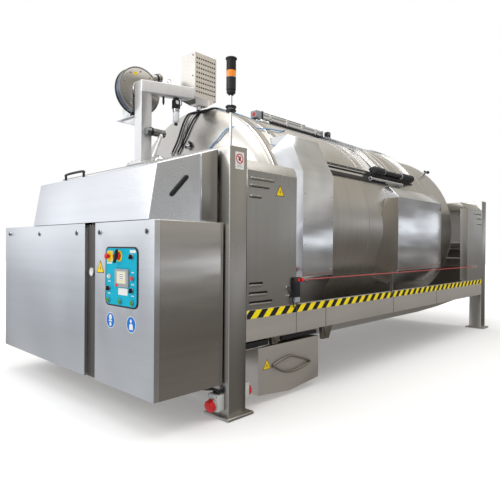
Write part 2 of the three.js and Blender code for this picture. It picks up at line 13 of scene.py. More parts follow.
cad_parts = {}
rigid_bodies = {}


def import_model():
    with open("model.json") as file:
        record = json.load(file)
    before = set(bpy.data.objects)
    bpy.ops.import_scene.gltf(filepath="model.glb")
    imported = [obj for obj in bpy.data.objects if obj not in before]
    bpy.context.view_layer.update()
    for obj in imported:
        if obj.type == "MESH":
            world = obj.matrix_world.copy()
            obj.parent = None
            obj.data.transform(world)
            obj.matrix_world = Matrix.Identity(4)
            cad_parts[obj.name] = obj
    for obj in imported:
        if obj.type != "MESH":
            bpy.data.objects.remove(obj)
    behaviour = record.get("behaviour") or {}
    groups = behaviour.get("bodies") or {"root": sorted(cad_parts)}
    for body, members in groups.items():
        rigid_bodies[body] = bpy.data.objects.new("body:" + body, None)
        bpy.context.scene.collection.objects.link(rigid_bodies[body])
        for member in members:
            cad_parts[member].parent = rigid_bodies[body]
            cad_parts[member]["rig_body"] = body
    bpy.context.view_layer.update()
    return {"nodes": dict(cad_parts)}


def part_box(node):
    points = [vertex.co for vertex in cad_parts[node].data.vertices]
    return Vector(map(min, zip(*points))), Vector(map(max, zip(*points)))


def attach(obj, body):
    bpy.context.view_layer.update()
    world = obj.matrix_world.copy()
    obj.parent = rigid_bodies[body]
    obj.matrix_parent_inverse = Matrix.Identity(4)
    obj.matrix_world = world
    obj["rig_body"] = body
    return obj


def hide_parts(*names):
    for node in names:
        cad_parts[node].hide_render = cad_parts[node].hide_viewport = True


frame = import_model()

# ---- places taken from the frame -----------------------------------------------------------
BASE_LEDGE = 0.04  # a base plate stands out this far around its post
NEAR_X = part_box("near_stand")[0].x + BASE_LEDGE
POST = 0.16
POST_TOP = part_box("near_stand")[1].z
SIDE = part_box("side_skirt_right")[0].y  # outer face of the posts and skirts on the operator's side
SKIRT_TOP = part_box("side_skirt_right")[1].z
FLANGE = [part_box("drive_trunnion")[i].z for i in (0, 1)]
AXIS = sum(FLANGE) / 2
DRUM_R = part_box("drum_shell")[1].y
DRUM_Z = AXIS + DRUM_R  # the drum's top line
DOME = 0.22  # depth of the drum's domed ends
DRUM_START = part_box("drum_shell")[0].x + DOME - NEAR_X
DRUM_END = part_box("drum_shell")[1].x - DOME - NEAR_X
DOOR_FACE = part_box("control_door")[0].x - NEAR_X
DRAWER_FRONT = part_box("drain_drawer")[0].y + 0.08  # behind the frame's straight grip
GUARD_FOLD = 1.625  # where the guards' tops lean in
PANEL_FACE = DOOR_FACE - 0.004


def p(x, y, z):
    return Vector((NEAR_X + x, y, z))


def middle(node):
    low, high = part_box(node)
    return (low + high) / 2


# ---- node helpers for materials ------------------------------------------------------------
class Nodes:
    """A material's or a world's node tree, with short calls for the nodes used here."""

    def __init__(self, name, world=False):
        self.material = (bpy.data.worlds if world else bpy.data.materials).new(name)
        self.material.use_nodes = True
        self.tree = self.material.node_tree
        self.shader = self.tree.nodes["Background" if world else "Principled BSDF"]

    def put(self, **values):
        for key, value in values.items():
            self.shader.inputs[key.replace("_", " ")].default_value = value
        return self

    def node(self, kind, **settings):
        made = self.tree.nodes.new(kind)
        for key, value in settings.items():
            setattr(made, key, value)
        return made

    def link(self, output, target):
        self.tree.links.new(output, target)

    def place(self, scale):
        """Object coordinates, stretched by scale."""
        coords = self.node("ShaderNodeTexCoord")
        mapping = self.node("ShaderNodeMapping")
        mapping.inputs["Scale"].default_value = scale
        self.link(coords.outputs["Object"], mapping.inputs["Vector"])
        return mapping.outputs["Vector"]

    def noise(self, scale, size, detail=3.0, rough=0.5):
        made = self.node("ShaderNodeTexNoise")
        made.inputs["Scale"].default_value = size
        made.inputs["Detail"].default_value = detail
        made.inputs["Roughness"].default_value = rough
        self.link(self.place(scale), made.inputs["Vector"])
        return made.outputs["Fac"]

    def ranged(self, value, start, end, low, high, **settings):
        """A value that runs from start to end, carried over to low to high."""
        made = self.node("ShaderNodeMapRange", **settings)
        for name, number in (("From Min", start), ("From Max", end), ("To Min", low), ("To Max", high)):
            made.inputs[name].default_value = number
        self.link(value, made.inputs["Value"])
        return made.outputs["Result"]

    def spread(self, value, low, high):
        """The middle of a noise, 0.3 to 0.7, spread over low to high."""
        return self.ranged(value, 0.3, 0.7, low, high)

    def blend(self, factor, first, second):
        made = self.node("ShaderNodeMix", data_type="RGBA")
        for socket, colour in (("A", first), ("B", second)):
            made.inputs[[i.name for i in made.inputs].index(socket) + 4].default_value = (*colour, 1)
        self.link(factor, made.inputs["Factor"])
        return made.outputs[2]

    def math(self, kind, first, second=0.0):
        made = self.node("ShaderNodeMath", operation=kind)
        for i, value in enumerate((first, second)):
            if isinstance(value, (int, float)):
                made.inputs[i].default_value = value
            else:
                self.link(value, made.inputs[i])
        return made.outputs["Value"]

    def bump(self, *layers):
        """Each layer is (height, distance in metres)."""
        normal = None
        for height, distance in layers:
            made = self.node("ShaderNodeBump")
            made.inputs["Distance"].default_value = distance
            self.link(height, made.inputs["Height"])
            if normal is not None:
                self.link(normal, made.inputs["Normal"])
            normal = made.outputs["Normal"]
        self.link(normal, self.shader.inputs["Normal"])
        return self


def shade(colour, by):
    return tuple(min(1.0, c * by) for c in colour)


def ground_steel(name, colour, roughness, grain, waves=0.004, wave_size=1.6, streaks=0.05, metallic=1.0):
    """Ground sheet steel. grain is how fast it changes along X, Y and Z: low along the grinding."""
    n = Nodes(name).put(Metallic=metallic)
    fine = n.noise(grain, 1.0, 4.0, 0.6)
    broad = n.noise(tuple(g * 0.06 for g in grain), 1.0, 2.0)
    smears = n.noise((1, 1, 1), 1.7, 1.5)
    tone = n.math("ADD", n.math("MULTIPLY", broad, 0.7), n.math("MULTIPLY", fine, 0.3))
    n.link(n.blend(n.spread(tone, 0, 1), shade(colour, 1 - streaks), shade(colour, 1 + streaks)),
        n.shader.inputs["Base Color"])
    grip = n.math("ADD", n.spread(fine, -0.015, 0.02), n.spread(smears, roughness - 0.04, roughness + 0.05))
    n.link(grip, n.shader.inputs["Roughness"])
    sway = n.noise((0.7, 0.7, 2.0), wave_size, 1.5, 0.35)
    n.bump((sway, waves), (fine, 0.00003))
    return n.material


def moulded(name, colour, roughness, grain=900.0, depth=0.00012, coat=0.0, variation=0.08, shine=0.5):
    """Moulded plastic, paint or rubber: a fine texture, handling marks and a little colour drift."""
    n = Nodes(name).put(Coat_Weight=coat, Specular_IOR_Level=shine)
    marks = n.noise((1, 1, 1), 14.0, 5.0, 0.65)
    grit = n.noise((1, 1, 1), grain, 2.0)
    n.link(n.blend(n.spread(marks, 0, 1), shade(colour, 1 - variation), shade(colour, 1 + variation)),
        n.shader.inputs["Base Color"])
    n.link(n.spread(marks, roughness - 0.07, roughness + 0.09), n.shader.inputs["Roughness"])
    n.bump((grit, depth), (marks, depth * 0.8))
    return n.material


def cast_iron(name, colour, roughness=0.55):
    n = Nodes(name).put(Metallic=0.35)
    skin = n.noise((1, 1, 1), 220.0, 4.0, 0.7)
    stain = n.noise((1, 1, 1), 9.0, 5.0, 0.6)
    n.link(n.blend(n.spread(stain, 0, 1), shade(colour, 0.8), shade(colour, 1.15)),
        n.shader.inputs["Base Color"])
    n.link(n.spread(stain, roughness - 0.1, roughness + 0.1), n.shader.inputs["Roughness"])
    n.bump((skin, 0.0006))
    return n.material


def hazard_film():
    """Slanted black and yellow bars, each half of the period wide."""
    period = 0.126
    n = Nodes("hazard_film").put(Specular_IOR_Level=0.15)
    split = n.node("ShaderNodeSeparateXYZ")
    n.link(n.place((1, 1, 1)), split.inputs["Vector"])
    lean = n.math("SUBTRACT", split.outputs["X"], split.outputs["Z"])
    step = n.math("FRACT", n.math("MULTIPLY", lean, 1 / period))
    bars = n.math("GREATER_THAN", step, 0.5)
    wear = n.noise((1, 1, 1), 60.0, 5.0, 0.7)
    yellow = n.blend(n.spread(wear, 0, 1), (0.7, 0.54, 0.001), (0.86, 0.7, 0.002))
    paint = n.node("ShaderNodeMix", data_type="RGBA")
    paint.inputs[7].default_value = (0.018, 0.016, 0.018, 1)
    n.link(bars, paint.inputs["Factor"])
    n.link(yellow, paint.inputs[6])
    n.link(paint.outputs[2], n.shader.inputs["Base Color"])
    n.link(n.spread(wear, 0.34, 0.5), n.shader.inputs["Roughness"])
    n.bump((wear, 0.0001))
    return n.material


def coated_fabric():
    n = Nodes("coated_fabric").put(Sheen_Weight=0.2)
    weave = n.node("ShaderNodeTexWave", wave_type="BANDS", bands_direction="X")
    weave.inputs["Scale"].default_value = 90.0
    weave.inputs["Distortion"].default_value = 0.6
    n.link(n.place((1, 1, 1)), weave.inputs["Vector"])
    soil = n.noise((1, 1, 1), 3.0, 5.0, 0.6)
    n.link(n.blend(n.spread(soil, 0, 1), (0.7, 0.64, 0.52), (0.84, 0.8, 0.7)), n.shader.inputs["Base Color"])
    n.link(n.spread(soil, 0.5, 0.7), n.shader.inputs["Roughness"])
    n.bump((weave.outputs["Fac"], 0.0004), (soil, 0.004))
    return n.material


def lens_plastic():
    n = Nodes("orange_lens").put(Transmission_Weight=0.08, IOR=1.49, Coat_Weight=0.4)
    ribs = n.node("ShaderNodeTexWave", wave_type="BANDS", bands_direction="Z")
    ribs.inputs["Scale"].default_value = 40.0
    n.link(n.place((1, 1, 1)), ribs.inputs["Vector"])
    glow = n.noise((1, 1, 1), 30.0, 3.0)
    n.link(n.blend(n.spread(glow, 0, 1), (0.82, 0.2, 0.002), (0.9, 0.29, 0.004)),
        n.shader.inputs["Base Color"])
    n.link(n.spread(glow, 0.12, 0.25), n.shader.inputs["Roughness"])
    n.bump((ribs.outputs["Fac"], 0.0008))
    return n.material


WARM = (0.6, 0.58, 0.55)
COOL = (0.76, 0.775, 0.8)
STEEL_LEVEL = ground_steel("steel_ground_level", WARM, 0.19, (5, 260, 260), waves=0.008, wave_size=1.9)
STEEL_SKIRT = ground_steel("steel_skirt", (0.62, 0.585, 0.54), 0.36, (5, 260, 260), waves=0.006,
    metallic=0.72)
STEEL_MAST = ground_steel("steel_mast", (0.77, 0.765, 0.765), 0.32, (260, 260, 5), waves=0.003, metallic=0.7)
STEEL_BLOWER = ground_steel("steel_blower", (0.38, 0.365, 0.34), 0.3, (90, 90, 90), waves=0.003)
STEEL_RIM = ground_steel("steel_blower_rim", (0.17, 0.2, 0.25), 0.16, (90, 90, 90), waves=0.003)
# Very dark steel for the recess between the doors: painted shade.
STEEL_SHADED_STRIP = ground_steel("steel_strip_painted_shade", (0.17, 0.16, 0.145), 0.4, (260, 260, 5), waves=0.002)
STEEL_VENT = ground_steel("steel_vent_box", (0.93, 0.88, 0.81), 0.26, (90, 90, 90), waves=0.002)
STEEL_UPRIGHT = ground_steel("steel_ground_upright", (0.46, 0.445, 0.415), 0.3, (260, 260, 5), waves=0.003)
STEEL_CABINET = ground_steel("steel_cabinet", COOL, 0.22, (260, 5, 260), waves=0.006, wave_size=1.3,
    streaks=0.03)
STEEL_DRUM = ground_steel("steel_drum", (0.59, 0.565, 0.53), 0.32, (190, 3, 3), waves=0.007, wave_size=1.1,
    streaks=0.07)
STEEL_CASING = ground_steel("steel_casing", COOL, 0.13, (4, 240, 240), waves=0.01, wave_size=1.6)
STEEL_BRIGHT = ground_steel("steel_bright", (0.8, 0.8, 0.8), 0.15, (60, 60, 60), waves=0.003)
STEEL_HOOP = ground_steel("steel_hoop", (0.34, 0.31, 0.275), 0.38, (160, 4, 4), waves=0.001)
STEEL_TRAY = ground_steel("steel_tray", (0.52, 0.5, 0.47), 0.34, (5, 200, 200))
GREY_STEEL = ground_steel("steel_valve", (0.26, 0.26, 0.255), 0.3, (90, 90, 90), waves=0.002)
WELD = ground_steel("weld_bead", (0.4, 0.38, 0.36), 0.42, (400, 400, 400), waves=0.001)
MACHINED = ground_steel("machined_steel", (0.5, 0.51, 0.52), 0.25, (300, 40, 40), waves=0.0005)
CAST = cast_iron("cast_metal", (0.3, 0.31, 0.33))
MOTOR_PAINT = cast_iron("motor_paint", (0.2, 0.25, 0.32), 0.45)
BLACK = moulded("black_plastic", (0.014, 0.014, 0.015), 0.45, variation=0.2, shine=0.35)
RUBBER = moulded("black_rubber", (0.018, 0.018, 0.019), 0.62, depth=0.0003, variation=0.25)
# Near-black used as painted shade in holes, slots, grooves and gaps, and as the colour of the dark seams
# between skirt panels.
SHADE_AND_SEAM_BLACK = moulded("painted_shade_and_seam_black", (0.008, 0.008, 0.008), 0.8)
GREY_PLASTIC = moulded("grey_plastic", (0.26, 0.27, 0.29), 0.45)
WHITE = moulded("white_film", (0.62, 0.62, 0.6), 0.4, variation=0.03)
PALE = moulded("pale_plastic", (0.5, 0.51, 0.5), 0.38, coat=0.2, variation=0.05)
RED = moulded("red_plastic", (0.56, 0.008, 0.012), 0.3, coat=0.15, shine=0.35)
RED_FILM = moulded("red_film", (0.52, 0.015, 0.02), 0.4)
GREEN = moulded("green_plastic", (0.002, 0.26, 0.02), 0.3, coat=0.15, shine=0.3)
YELLOW = moulded("yellow_film", (0.72, 0.5, 0.002), 0.45, variation=0.05, shine=0.2)
BLUE_FILM = moulded("blue_film", (0.001, 0.125, 0.46), 0.45, shine=0.15)
BLUE_HOSE = moulded("blue_hose", (0.12, 0.34, 0.6), 0.3, coat=0.3)
TEAL = moulded("teal_film", (0.0005, 0.33, 0.46), 0.5, variation=0.05, shine=0.12)
CREAM = moulded("screen_cream", (0.6, 0.57, 0.38), 0.2, coat=0.6, variation=0.04)
CORD_RED = moulded("rope_sheath", (0.56, 0.075, 0.075), 0.5, grain=500.0, depth=0.0006)
CLEAR = moulded("clear_bowl", (0.72, 0.74, 0.77), 0.15, coat=0.6)
HAZARD = hazard_film()
FABRIC = coated_fabric()
LENS = lens_plastic()


# ---- mesh helpers --------------------------------------------------------------------------
UP = Vector((0, 0, 1))
ALONG = Vector((1, 0, 0))
ACROSS = Vector((0, 1, 0))


def build(make):
    """Runs a maker as soon as it is defined, so pieces are made in reading order."""
    make()
    return make


def circle(centre, radius, count, start=0.0, u=ALONG, v=UP):
    """Points round a circle in the plane of u and v, from start degrees."""
    turns = [radians(start) + 2 * pi * i / count for i in range(count)]
    return [Vector(centre) + u * radius * cos(t) + v * radius * sin(t) for t in turns]


def rect(u0, v0, u1, v1):
    return [(u0, v0), (u1, v0), (u1, v1), (u0, v1)]


def link_mesh(name, bm, materials):
    bmesh.ops.recalc_face_normals(bm, faces=bm.faces[:])
    mesh = bpy.data.meshes.new(name)
    bm.to_mesh(mesh)
    bm.free()
    for material in materials:
        mesh.materials.append(material)
    mesh.shade_smooth()
    mesh.set_sharp_from_angle(angle=radians(32))
    made = bpy.data.objects.new(name, mesh)
    bpy.context.scene.collection.objects.link(made)
    return made


class Piece:
    """One object made of closed forms, each in the material named last with of()."""

    def __init__(self, name, slot="stainless", body="press_frame"):
        self.name, self.body, self.slot = name, body, slot
        self.bm = bmesh.new()
        self.materials = []
        self.index = 0

    def of(self, material):
        if material not in self.materials:
            self.materials.append(material)
        self.index = self.materials.index(material)
        return self

    def points(self, places):
        return [self.bm.verts.new(q) for q in places]

    def face(self, corners):
        made = self.bm.faces.new(corners)
        made.material_index = self.index
        return made

    def soften(self, faces, width, segments=2):
        if width:
            edges = list(dict.fromkeys(e for f in faces for e in f.edges if e.is_manifold
                and e.calc_face_angle(0) > 0.5))
            made = bmesh.ops.bevel(self.bm, geom=edges, offset=width, segments=segments, affect="EDGES",
                profile=0.5, clamp_overlap=True)
            for f in made["faces"]:
                f.material_index = self.index
        return self

    def prism(self, corners, along, bevel=0.0):
        """A flat outline of points, drawn out by the vector along."""
        low = self.points(corners)
        high = self.points(Vector(c) + along for c in corners)
        faces = [self.face(low), self.face(high[::-1])]
        for i in range(len(low)):
            j = (i + 1) % len(low)
            faces.append(self.face((low[i], high[i], high[j], low[j])))
        bmesh.ops.recalc_face_normals(self.bm, faces=faces)
        return self.soften(faces, bevel)

    def box(self, low, high, bevel=0.0015):
        low, high = Vector(low), Vector(high)
        base = [(low.x, low.y), (high.x, low.y), (high.x, high.y), (low.x, high.y)]
        return self.prism([Vector((x, y, low.z)) for x, y in base], UP * (high.z - low.z), bevel)

    def rings(self, rings, closed=False):
        """Joins rings of vertices one after another. A ring of one vertex is a tip."""
        pairs = list(zip(rings, rings[1:] + rings[:1] if closed else rings[1:]))
        for a, b in pairs:
            count = max(len(a), len(b))
            for i in range(count):
                j = (i + 1) % count
                corners = [a[i % len(a)], a[j % len(a)], b[j % len(b)], b[i % len(b)]]
                self.face([c for k, c in enumerate(corners) if c not in corners[:k]])
        if not closed:
            for ring in (rings[0], rings[-1]):
                if len(ring) > 2:
                    self.face(ring)
        return self

    def lathe(self, start, axis, profile, sides=32, closed=False):
        """Turns (distance along, radius) points about the axis. Closed joins the last to the first."""
        axis = Vector(axis).normalized()
        side = axis.orthogonal().normalized()
        other = axis.cross(side)
        rings = []
        for along, radius in profile:
            centre = Vector(start) + axis * along
            rings.append(self.points(circle(centre, radius, sides, 0.0, side, other) if radius
                else [centre]))
        return self.rings(rings, closed)

    def collar(self, start, axis, inner, outer, height, sides=32):
        """A square-edged ring about the axis."""
        return self.lathe(start, axis, [(0, inner), (0, outer), (height, outer), (height, inner)], sides,
            True)

    def rod(self, start, end, radius, sides=20, edge=0.0):
        """A round bar with softened ends."""
        axis = Vector(end) - Vector(start)
        length = axis.length
        edge = min(edge, radius * 0.5, length * 0.4)
        profile = [(0, radius - edge), (edge, radius), (length - edge, radius), (length, radius - edge)]
        if not edge:
            profile = [(0, radius), (length, radius)]
        return self.lathe(start, axis, profile, sides)

    def tube(self, path, radius, sides=12):
        """A round tube along a list of points."""
        points = [Vector(q) for q in path]
        ahead = (points[1] - points[0]).normalized()
        side = ahead.orthogonal().normalized()
        rings = []
        for i, point in enumerate(points):
            before = points[max(i - 1, 0)]
            after = points[min(i + 1, len(points) - 1)]
            ahead = (after - before).normalized()
            side = (side - ahead * side.dot(ahead)).normalized()
            rings.append(self.points(circle(point, radius, sides, 0.0, side, ahead.cross(side))))
        return self.rings(rings)

    def arc(self, radii, angles, xs, steps=48):
        """A curved plate on the drum. Angles are degrees up from the operator's side."""
        return self.bent(radii, [angles[0] + (angles[1] - angles[0]) * i / steps for i in range(steps + 1)],
            xs)

    def bent(self, radii, angles, xs):
        """A plate on the drum that is straight between the angles."""
        rings = []
        for angle in angles:
            a = radians(angle)
            section = [(radii[0], xs[0]), (radii[1], xs[0]), (radii[1], xs[1]), (radii[0], xs[1])]
            rings.append(self.points(p(x, -r * cos(a), AXIS + r * sin(a)) for r, x in section))
        return self.rings(rings)

    def bolt(self, place, axis, radius=0.008):
        """A hexagon head on a washer."""
        axis = Vector(axis).normalized()
        self.rod(place, Vector(place) + axis * 0.002, radius * 1.35, 16)
        self.lathe(Vector(place) + axis * 0.002, axis, [(0, radius), (radius * 0.8, radius),
            (radius, radius * 0.7)], 6)
        return self

    def fins(self, centre, count, inner, outer, half, length):
        """Cooling fins, 2 x half thick, about an axis along Y."""
        for i in range(count):
            a = 2 * pi * i / count
            out, side = Vector((cos(a), 0, sin(a))), Vector((-sin(a), 0, cos(a))) * half
            self.prism([centre + out * inner - side, centre + out * outer - side,
                centre + out * outer + side, centre + out * inner + side], ACROSS * length)
        return self

    def cut(self, target):
        """Takes this form out of the target, instead of showing it."""
        return cut_with(target, link_mesh(self.name, self.bm, self.materials))

    def done(self, *replaced):
        made = link_mesh(self.name, self.bm, self.materials)
        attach(made, self.body)
        if replaced:
            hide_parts(*replaced)
        return made


def smooth_path(points, steps=6):
    """A Catmull-Rom curve through the points."""
    points = [Vector(q) for q in points]
    ends = [points[0] * 2 - points[1], *points, points[-1] * 2 - points[-2]]
    path = []
    for a, b, c, d in zip(ends, ends[1:], ends[2:], ends[3:]):
        for i in range(steps):
            t = i / steps
            path.append(0.5 * ((2 * b) + (c - a) * t + (2 * a - 5 * b + 4 * c - d) * t ** 2
                + (3 * b - a - 3 * c + d) * t ** 3))
    return [*path, points[-1]]


def cut_with(target, cutter):
    """Takes the cutter object's shape out of the target and removes the cutter."""
    tool = target.modifiers.new("cut", "BOOLEAN")
    tool.operation = "DIFFERENCE"
    tool.solver = "EXACT"
    tool.object = cutter
    deps = bpy.context.evaluated_depsgraph_get()
    result = bpy.data.meshes.new_from_object(target.evaluated_get(deps))
    target.modifiers.clear()
    target.data = result
    target.data.set_sharp_from_angle(angle=radians(32))
    bpy.data.objects.remove(cutter)
    return target


def dress(node, material, fold=0.0, rim=0.0012):
    """The node's own shape with rounded folds, standing for the CAD node."""
    bm = bmesh.new()
    bm.from_mesh(frame["nodes"][node].data)
    for f in bm.faces:
        f.material_index = 0
    bmesh.ops.remove_doubles(bm, verts=bm.verts[:], dist=1e-5)
    bmesh.ops.dissolve_limit(bm, angle_limit=radians(1.5), verts=bm.verts[:], edges=bm.edges[:])
    wide = {f for f in bm.faces if f.calc_area() / max(f.calc_perimeter(), 1e-6) > max(fold, rim) * 0.8}
    corners = [e for e in bm.edges if e.is_manifold and e.calc_face_angle_signed(0) > 0.5
        and all(f in wide for f in e.link_faces)]
    width = fold or rim
    bmesh.ops.bevel(bm, geom=corners, offset=width, segments=3 if fold else 1, affect="EDGES", profile=0.5,
        clamp_overlap=False)
    made = link_mesh(f"{node}_skin", bm, [material])
    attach(made, frame["nodes"][node]["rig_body"])
    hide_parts(node)
    return made


# ---- camera --------------------------------------------------------------------------------
@build
def camera():
    place = Vector((-4.2933, -3.3652, 1.1119))
    turn, pitch, roll = radians(43.705), radians(-0.42), radians(0.434)
    ahead = Vector((cos(turn) * cos(pitch), sin(turn) * cos(pitch), sin(pitch)))
    level = Vector((sin(turn), -cos(turn), 0))
    over = level.cross(ahead)
    right = level * cos(roll) + over * sin(roll)
    up = over * cos(roll) - level * sin(roll)
    data = bpy.data.cameras.new("camera")
    data.sensor_width = 36.0
    data.lens = 33.78
    data.clip_end = 200.0
    made = bpy.data.objects.new("camera", data)
    made.matrix_world = Matrix((right, up, -ahead)).transposed().to_4x4()
    made.location = place
    bpy.context.scene.collection.objects.link(made)
    bpy.context.scene.camera = made


# ---- end stands, skirts, guards ------------------------------------------------------------
for stand in ("near_stand", "far_stand"):
    dress(stand, STEEL_UPRIGHT, fold=0.008)
for side in ("right", "left"):
    dress(f"side_skirt_{side}", STEEL_SKIRT, rim=0.001)
    dress(f"near_guard_{side}", STEEL_UPRIGHT, rim=0.001)
    dress(f"far_guard_{side}", STEEL_UPRIGHT, rim=0.001)
dress("juice_tray", STEEL_TRAY, rim=0.001)
dress("drain_drawer", STEEL_SKIRT, rim=0.001)
dress("drive_bay", STEEL_LEVEL, fold=0.007)
dress("control_cabinet", STEEL_LEVEL, fold=0.007)
dress("bay_cover", STEEL_CABINET, fold=0.005)
dress("control_door", STEEL_CABINET, fold=0.005)
dress("drive_hood", STEEL_CABINET, fold=0.008)
for side in ("right", "left"):
    dress(f"near_casing_{side}", STEEL_CASING, fold=0.004)
    dress(f"far_casing_{side}", STEEL_CASING, fold=0.004)
dress("mast", STEEL_MAST, fold=0.005)
dress("vent_box", STEEL_VENT, rim=0.001)


@build
def drum_shell():
    steps = 18
    shells = []
    for wall in (0.0, 0.01):
        profile = []
        for i in range(steps + 1):
            turn = pi / 2 * i / steps
            profile.append((DRUM_START - (DOME - wall) * cos(turn), (DRUM_R - wall) * sin(turn) if i else 0))
        profile += [(DRUM_START + DRUM_END - x, r) for x, r in reversed(profile)]
        piece = Piece("drum_shell_skin", "stainless", "drum").of(STEEL_DRUM)
        piece.lathe(p(0, 0, AXIS), ALONG, profile, 144)
        shells.append(link_mesh("drum_shell_skin", piece.bm, [STEEL_DRUM]))
    shell = cut_with(shells[0], shells[1])
    x0, x1, half, corner = 2.56, 3.25, 0.655, 0.06
    points = []
    for cx, cy, start in ((x1 - corner, half - corner, 0), (x0 + corner, half - corner, 90),
            (x0 + corner, corner - half, 180), (x1 - corner, corner - half, 270)):
        for i in range(7):
            a = radians(start + 15 * i)
            points.append(p(cx + corner * cos(a), cy + corner * sin(a), AXIS + 0.6))
    Piece("doorway").of(STEEL_DRUM).prism(points, UP * 0.5).cut(shell)
    shell.name = "drum_shell_skin"
    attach(shell, "drum")
    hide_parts("drum_shell")


# ---- flat faces and the shapes laid on them ------------------------------------------------
class Face:
    """A flat face: u runs right and v up as one looks at it, and w stands out of it."""

    def __init__(self, origin, u, v):
        self.origin, self.u, self.v = Vector(origin), Vector(u), Vector(v)
        self.out = self.u.cross(self.v)

    def at(self, u, v, w=0.0):
        return self.origin + self.u * u + self.v * v + self.out * w

    def layer(self, piece, outline, low, high, bevel=0.0):
        """A flat form between two heights over the face."""
        return piece.prism([self.at(u, v, low) for u, v in outline], self.out * (high - low), bevel)


# On FRONT u is -y, because it looks towards +X. On SIDES u is x from the near posts.
FRONT = Face(p(DOOR_FACE, 0, 0), -ACROSS, UP)
PANEL = Face(p(PANEL_FACE, 0, 0), -ACROSS, UP)
SIDES = Face((NEAR_X, SIDE, 0), ALONG, UP)


def round_box(centre, size, radius, steps=5):
    points = []
    for right, up, start in ((1, 1, 0), (-1, 1, 90), (-1, -1, 180), (1, -1, 270)):
        for i in range(steps + 1):
            a = radians(start + 90 * i / steps)
            points.append((centre[0] + right * (size[0] / 2 - radius) + radius * cos(a),
                centre[1] + up * (size[1] / 2 - radius) + radius * sin(a)))
    return points


def disc(centre, radius, sides=32):
    return [q.to_2d() for q in circle((*centre, 0), radius, sides, v=ACROSS)]


def triangle(centre, side, radius):
    """An upright triangle with round corners."""
    reach = side / sqrt(3) - 2 * radius
    points = []
    for corner in (90, 210, 330):
        a = radians(corner)
        cx, cy = centre[0] + reach * cos(a), centre[1] + reach * sin(a)
        for step in (-60, -20, 20, 60):
            b = radians(corner + step)
            points.append((cx + radius * cos(b), cy + radius * sin(b)))
    return points


def stadium(start, end, radius, steps=8):
    (u0, v0), (u1, v1) = start, end
    lean = atan2(v1 - v0, u1 - u0)
    points = []
    for (u, v), turn in ((end, -pi / 2), (start, pi / 2)):
        for i in range(steps + 1):
            a = lean + turn + pi * i / steps
            points.append((u + radius * cos(a), v + radius * sin(a)))
    return points


FILM = 0.0005  # thickness of a sticker
LIFT = 0.0002  # a sticker's back stands this far off its face
INK = FILM * 1.6  # top of a sticker's second layer
MARK = FILM * 2.2  # top of its third
FOIL = 0.0004  # thickness of the panel's printed foil


def warning_sign(name, body, face, centre, side):
    """A yellow triangle with a plain bolt and no words."""
    piece = Piece(name, "black_plastic", body).of(BLACK)
    face.layer(piece, triangle(centre, side, side * 0.05), LIFT, FILM)
    piece.of(YELLOW)
    face.layer(piece, triangle(centre, side * 0.84, side * 0.04), FILM, INK)
    piece.of(BLACK)
    bolt = [(0.04, 0.34), (-0.13, -0.02), (-0.02, -0.02), (-0.07, -0.24), (0.13, 0.07), (0.02, 0.07)]
    face.layer(piece, [(centre[0] + u * side * 0.6, centre[1] + v * side * 0.7) for u, v in bolt], INK, MARK)
    piece.done()


def duty_sign(name, body, face, centre, radius, mark):
    """A blue disc with a white rim and a plain white mark."""
    piece = Piece(name, "panel_film", body).of(WHITE)
    face.layer(piece, disc(centre, radius, 40), LIFT, FILM)
    piece.of(BLUE_FILM)
    face.layer(piece, disc(centre, radius * 0.92, 40), FILM, INK)
    piece.of(WHITE)
    for outline in mark:
        face.layer(piece, [(centre[0] + u * radius, centre[1] + v * radius) for u, v in outline], INK, MARK)
    piece.done()


def quarter_turn(name, body, face, centre):
    piece = Piece(name, "bright_stainless", body).of(MACHINED)
    u, v = centre
    piece.lathe(face.at(u, v, 0), face.out, [(0, 0.019), (0.002, 0.019), (0.004, 0.017), (0.004, 0.013)], 28)
    piece.of(BLACK).lathe(face.at(u, v, 0.004), face.out, [(0, 0.0125), (0.003, 0.0115), (0.0035, 0.009)],
        24)
    piece.of(MACHINED)
    face.layer(piece, stadium((u - 0.006, v - 0.004), (u + 0.006, v + 0.004), 0.0026), 0.0075, 0.0095)
    piece.done()


# ---- drive end: cabinets, panel, hood ------------------------------------------------------
BAY_LOCKS = [(-1.041, 1.207), (-0.406, 1.199), (0.225, 1.197)]
DOOR_LOCKS = [(0.542, 1.197), (1.083, 1.196)]
for i, place in enumerate(BAY_LOCKS):
    quarter_turn(f"bay_lock_{i + 1}", "bay_cover", FRONT, place)
for i, place in enumerate(DOOR_LOCKS):
    quarter_turn(f"door_lock_{i + 1}", "control_door", FRONT, place)

SHOULDERS = [(-0.42, -0.62), (0.42, -0.62), (0.36, -0.05), (0.16, 0.12), (-0.16, 0.12), (-0.36, -0.05)]
MASK = [(-0.4, 0.05), (0.4, 0.05), (0.34, -0.16), (0.08, -0.12), (-0.08, -0.12), (-0.34, -0.16)]
duty_sign("duty_sign_1", "control_door", FRONT, (0.686, 0.641), 0.05,
    [disc((0, 0.42), 0.34, 24), MASK, disc((0, -0.48), 0.26, 20)])
duty_sign("duty_sign_2", "control_door", FRONT, (0.924, 0.64), 0.05,
    [SHOULDERS, disc((-0.05, 0.42), 0.22, 24)])
warning_sign("door_warning", "control_door", FRONT, (0.555, 0.962), 0.098)
warning_sign("guard_warning", "press_frame", SIDES, (0.496, 1.5), 0.095)


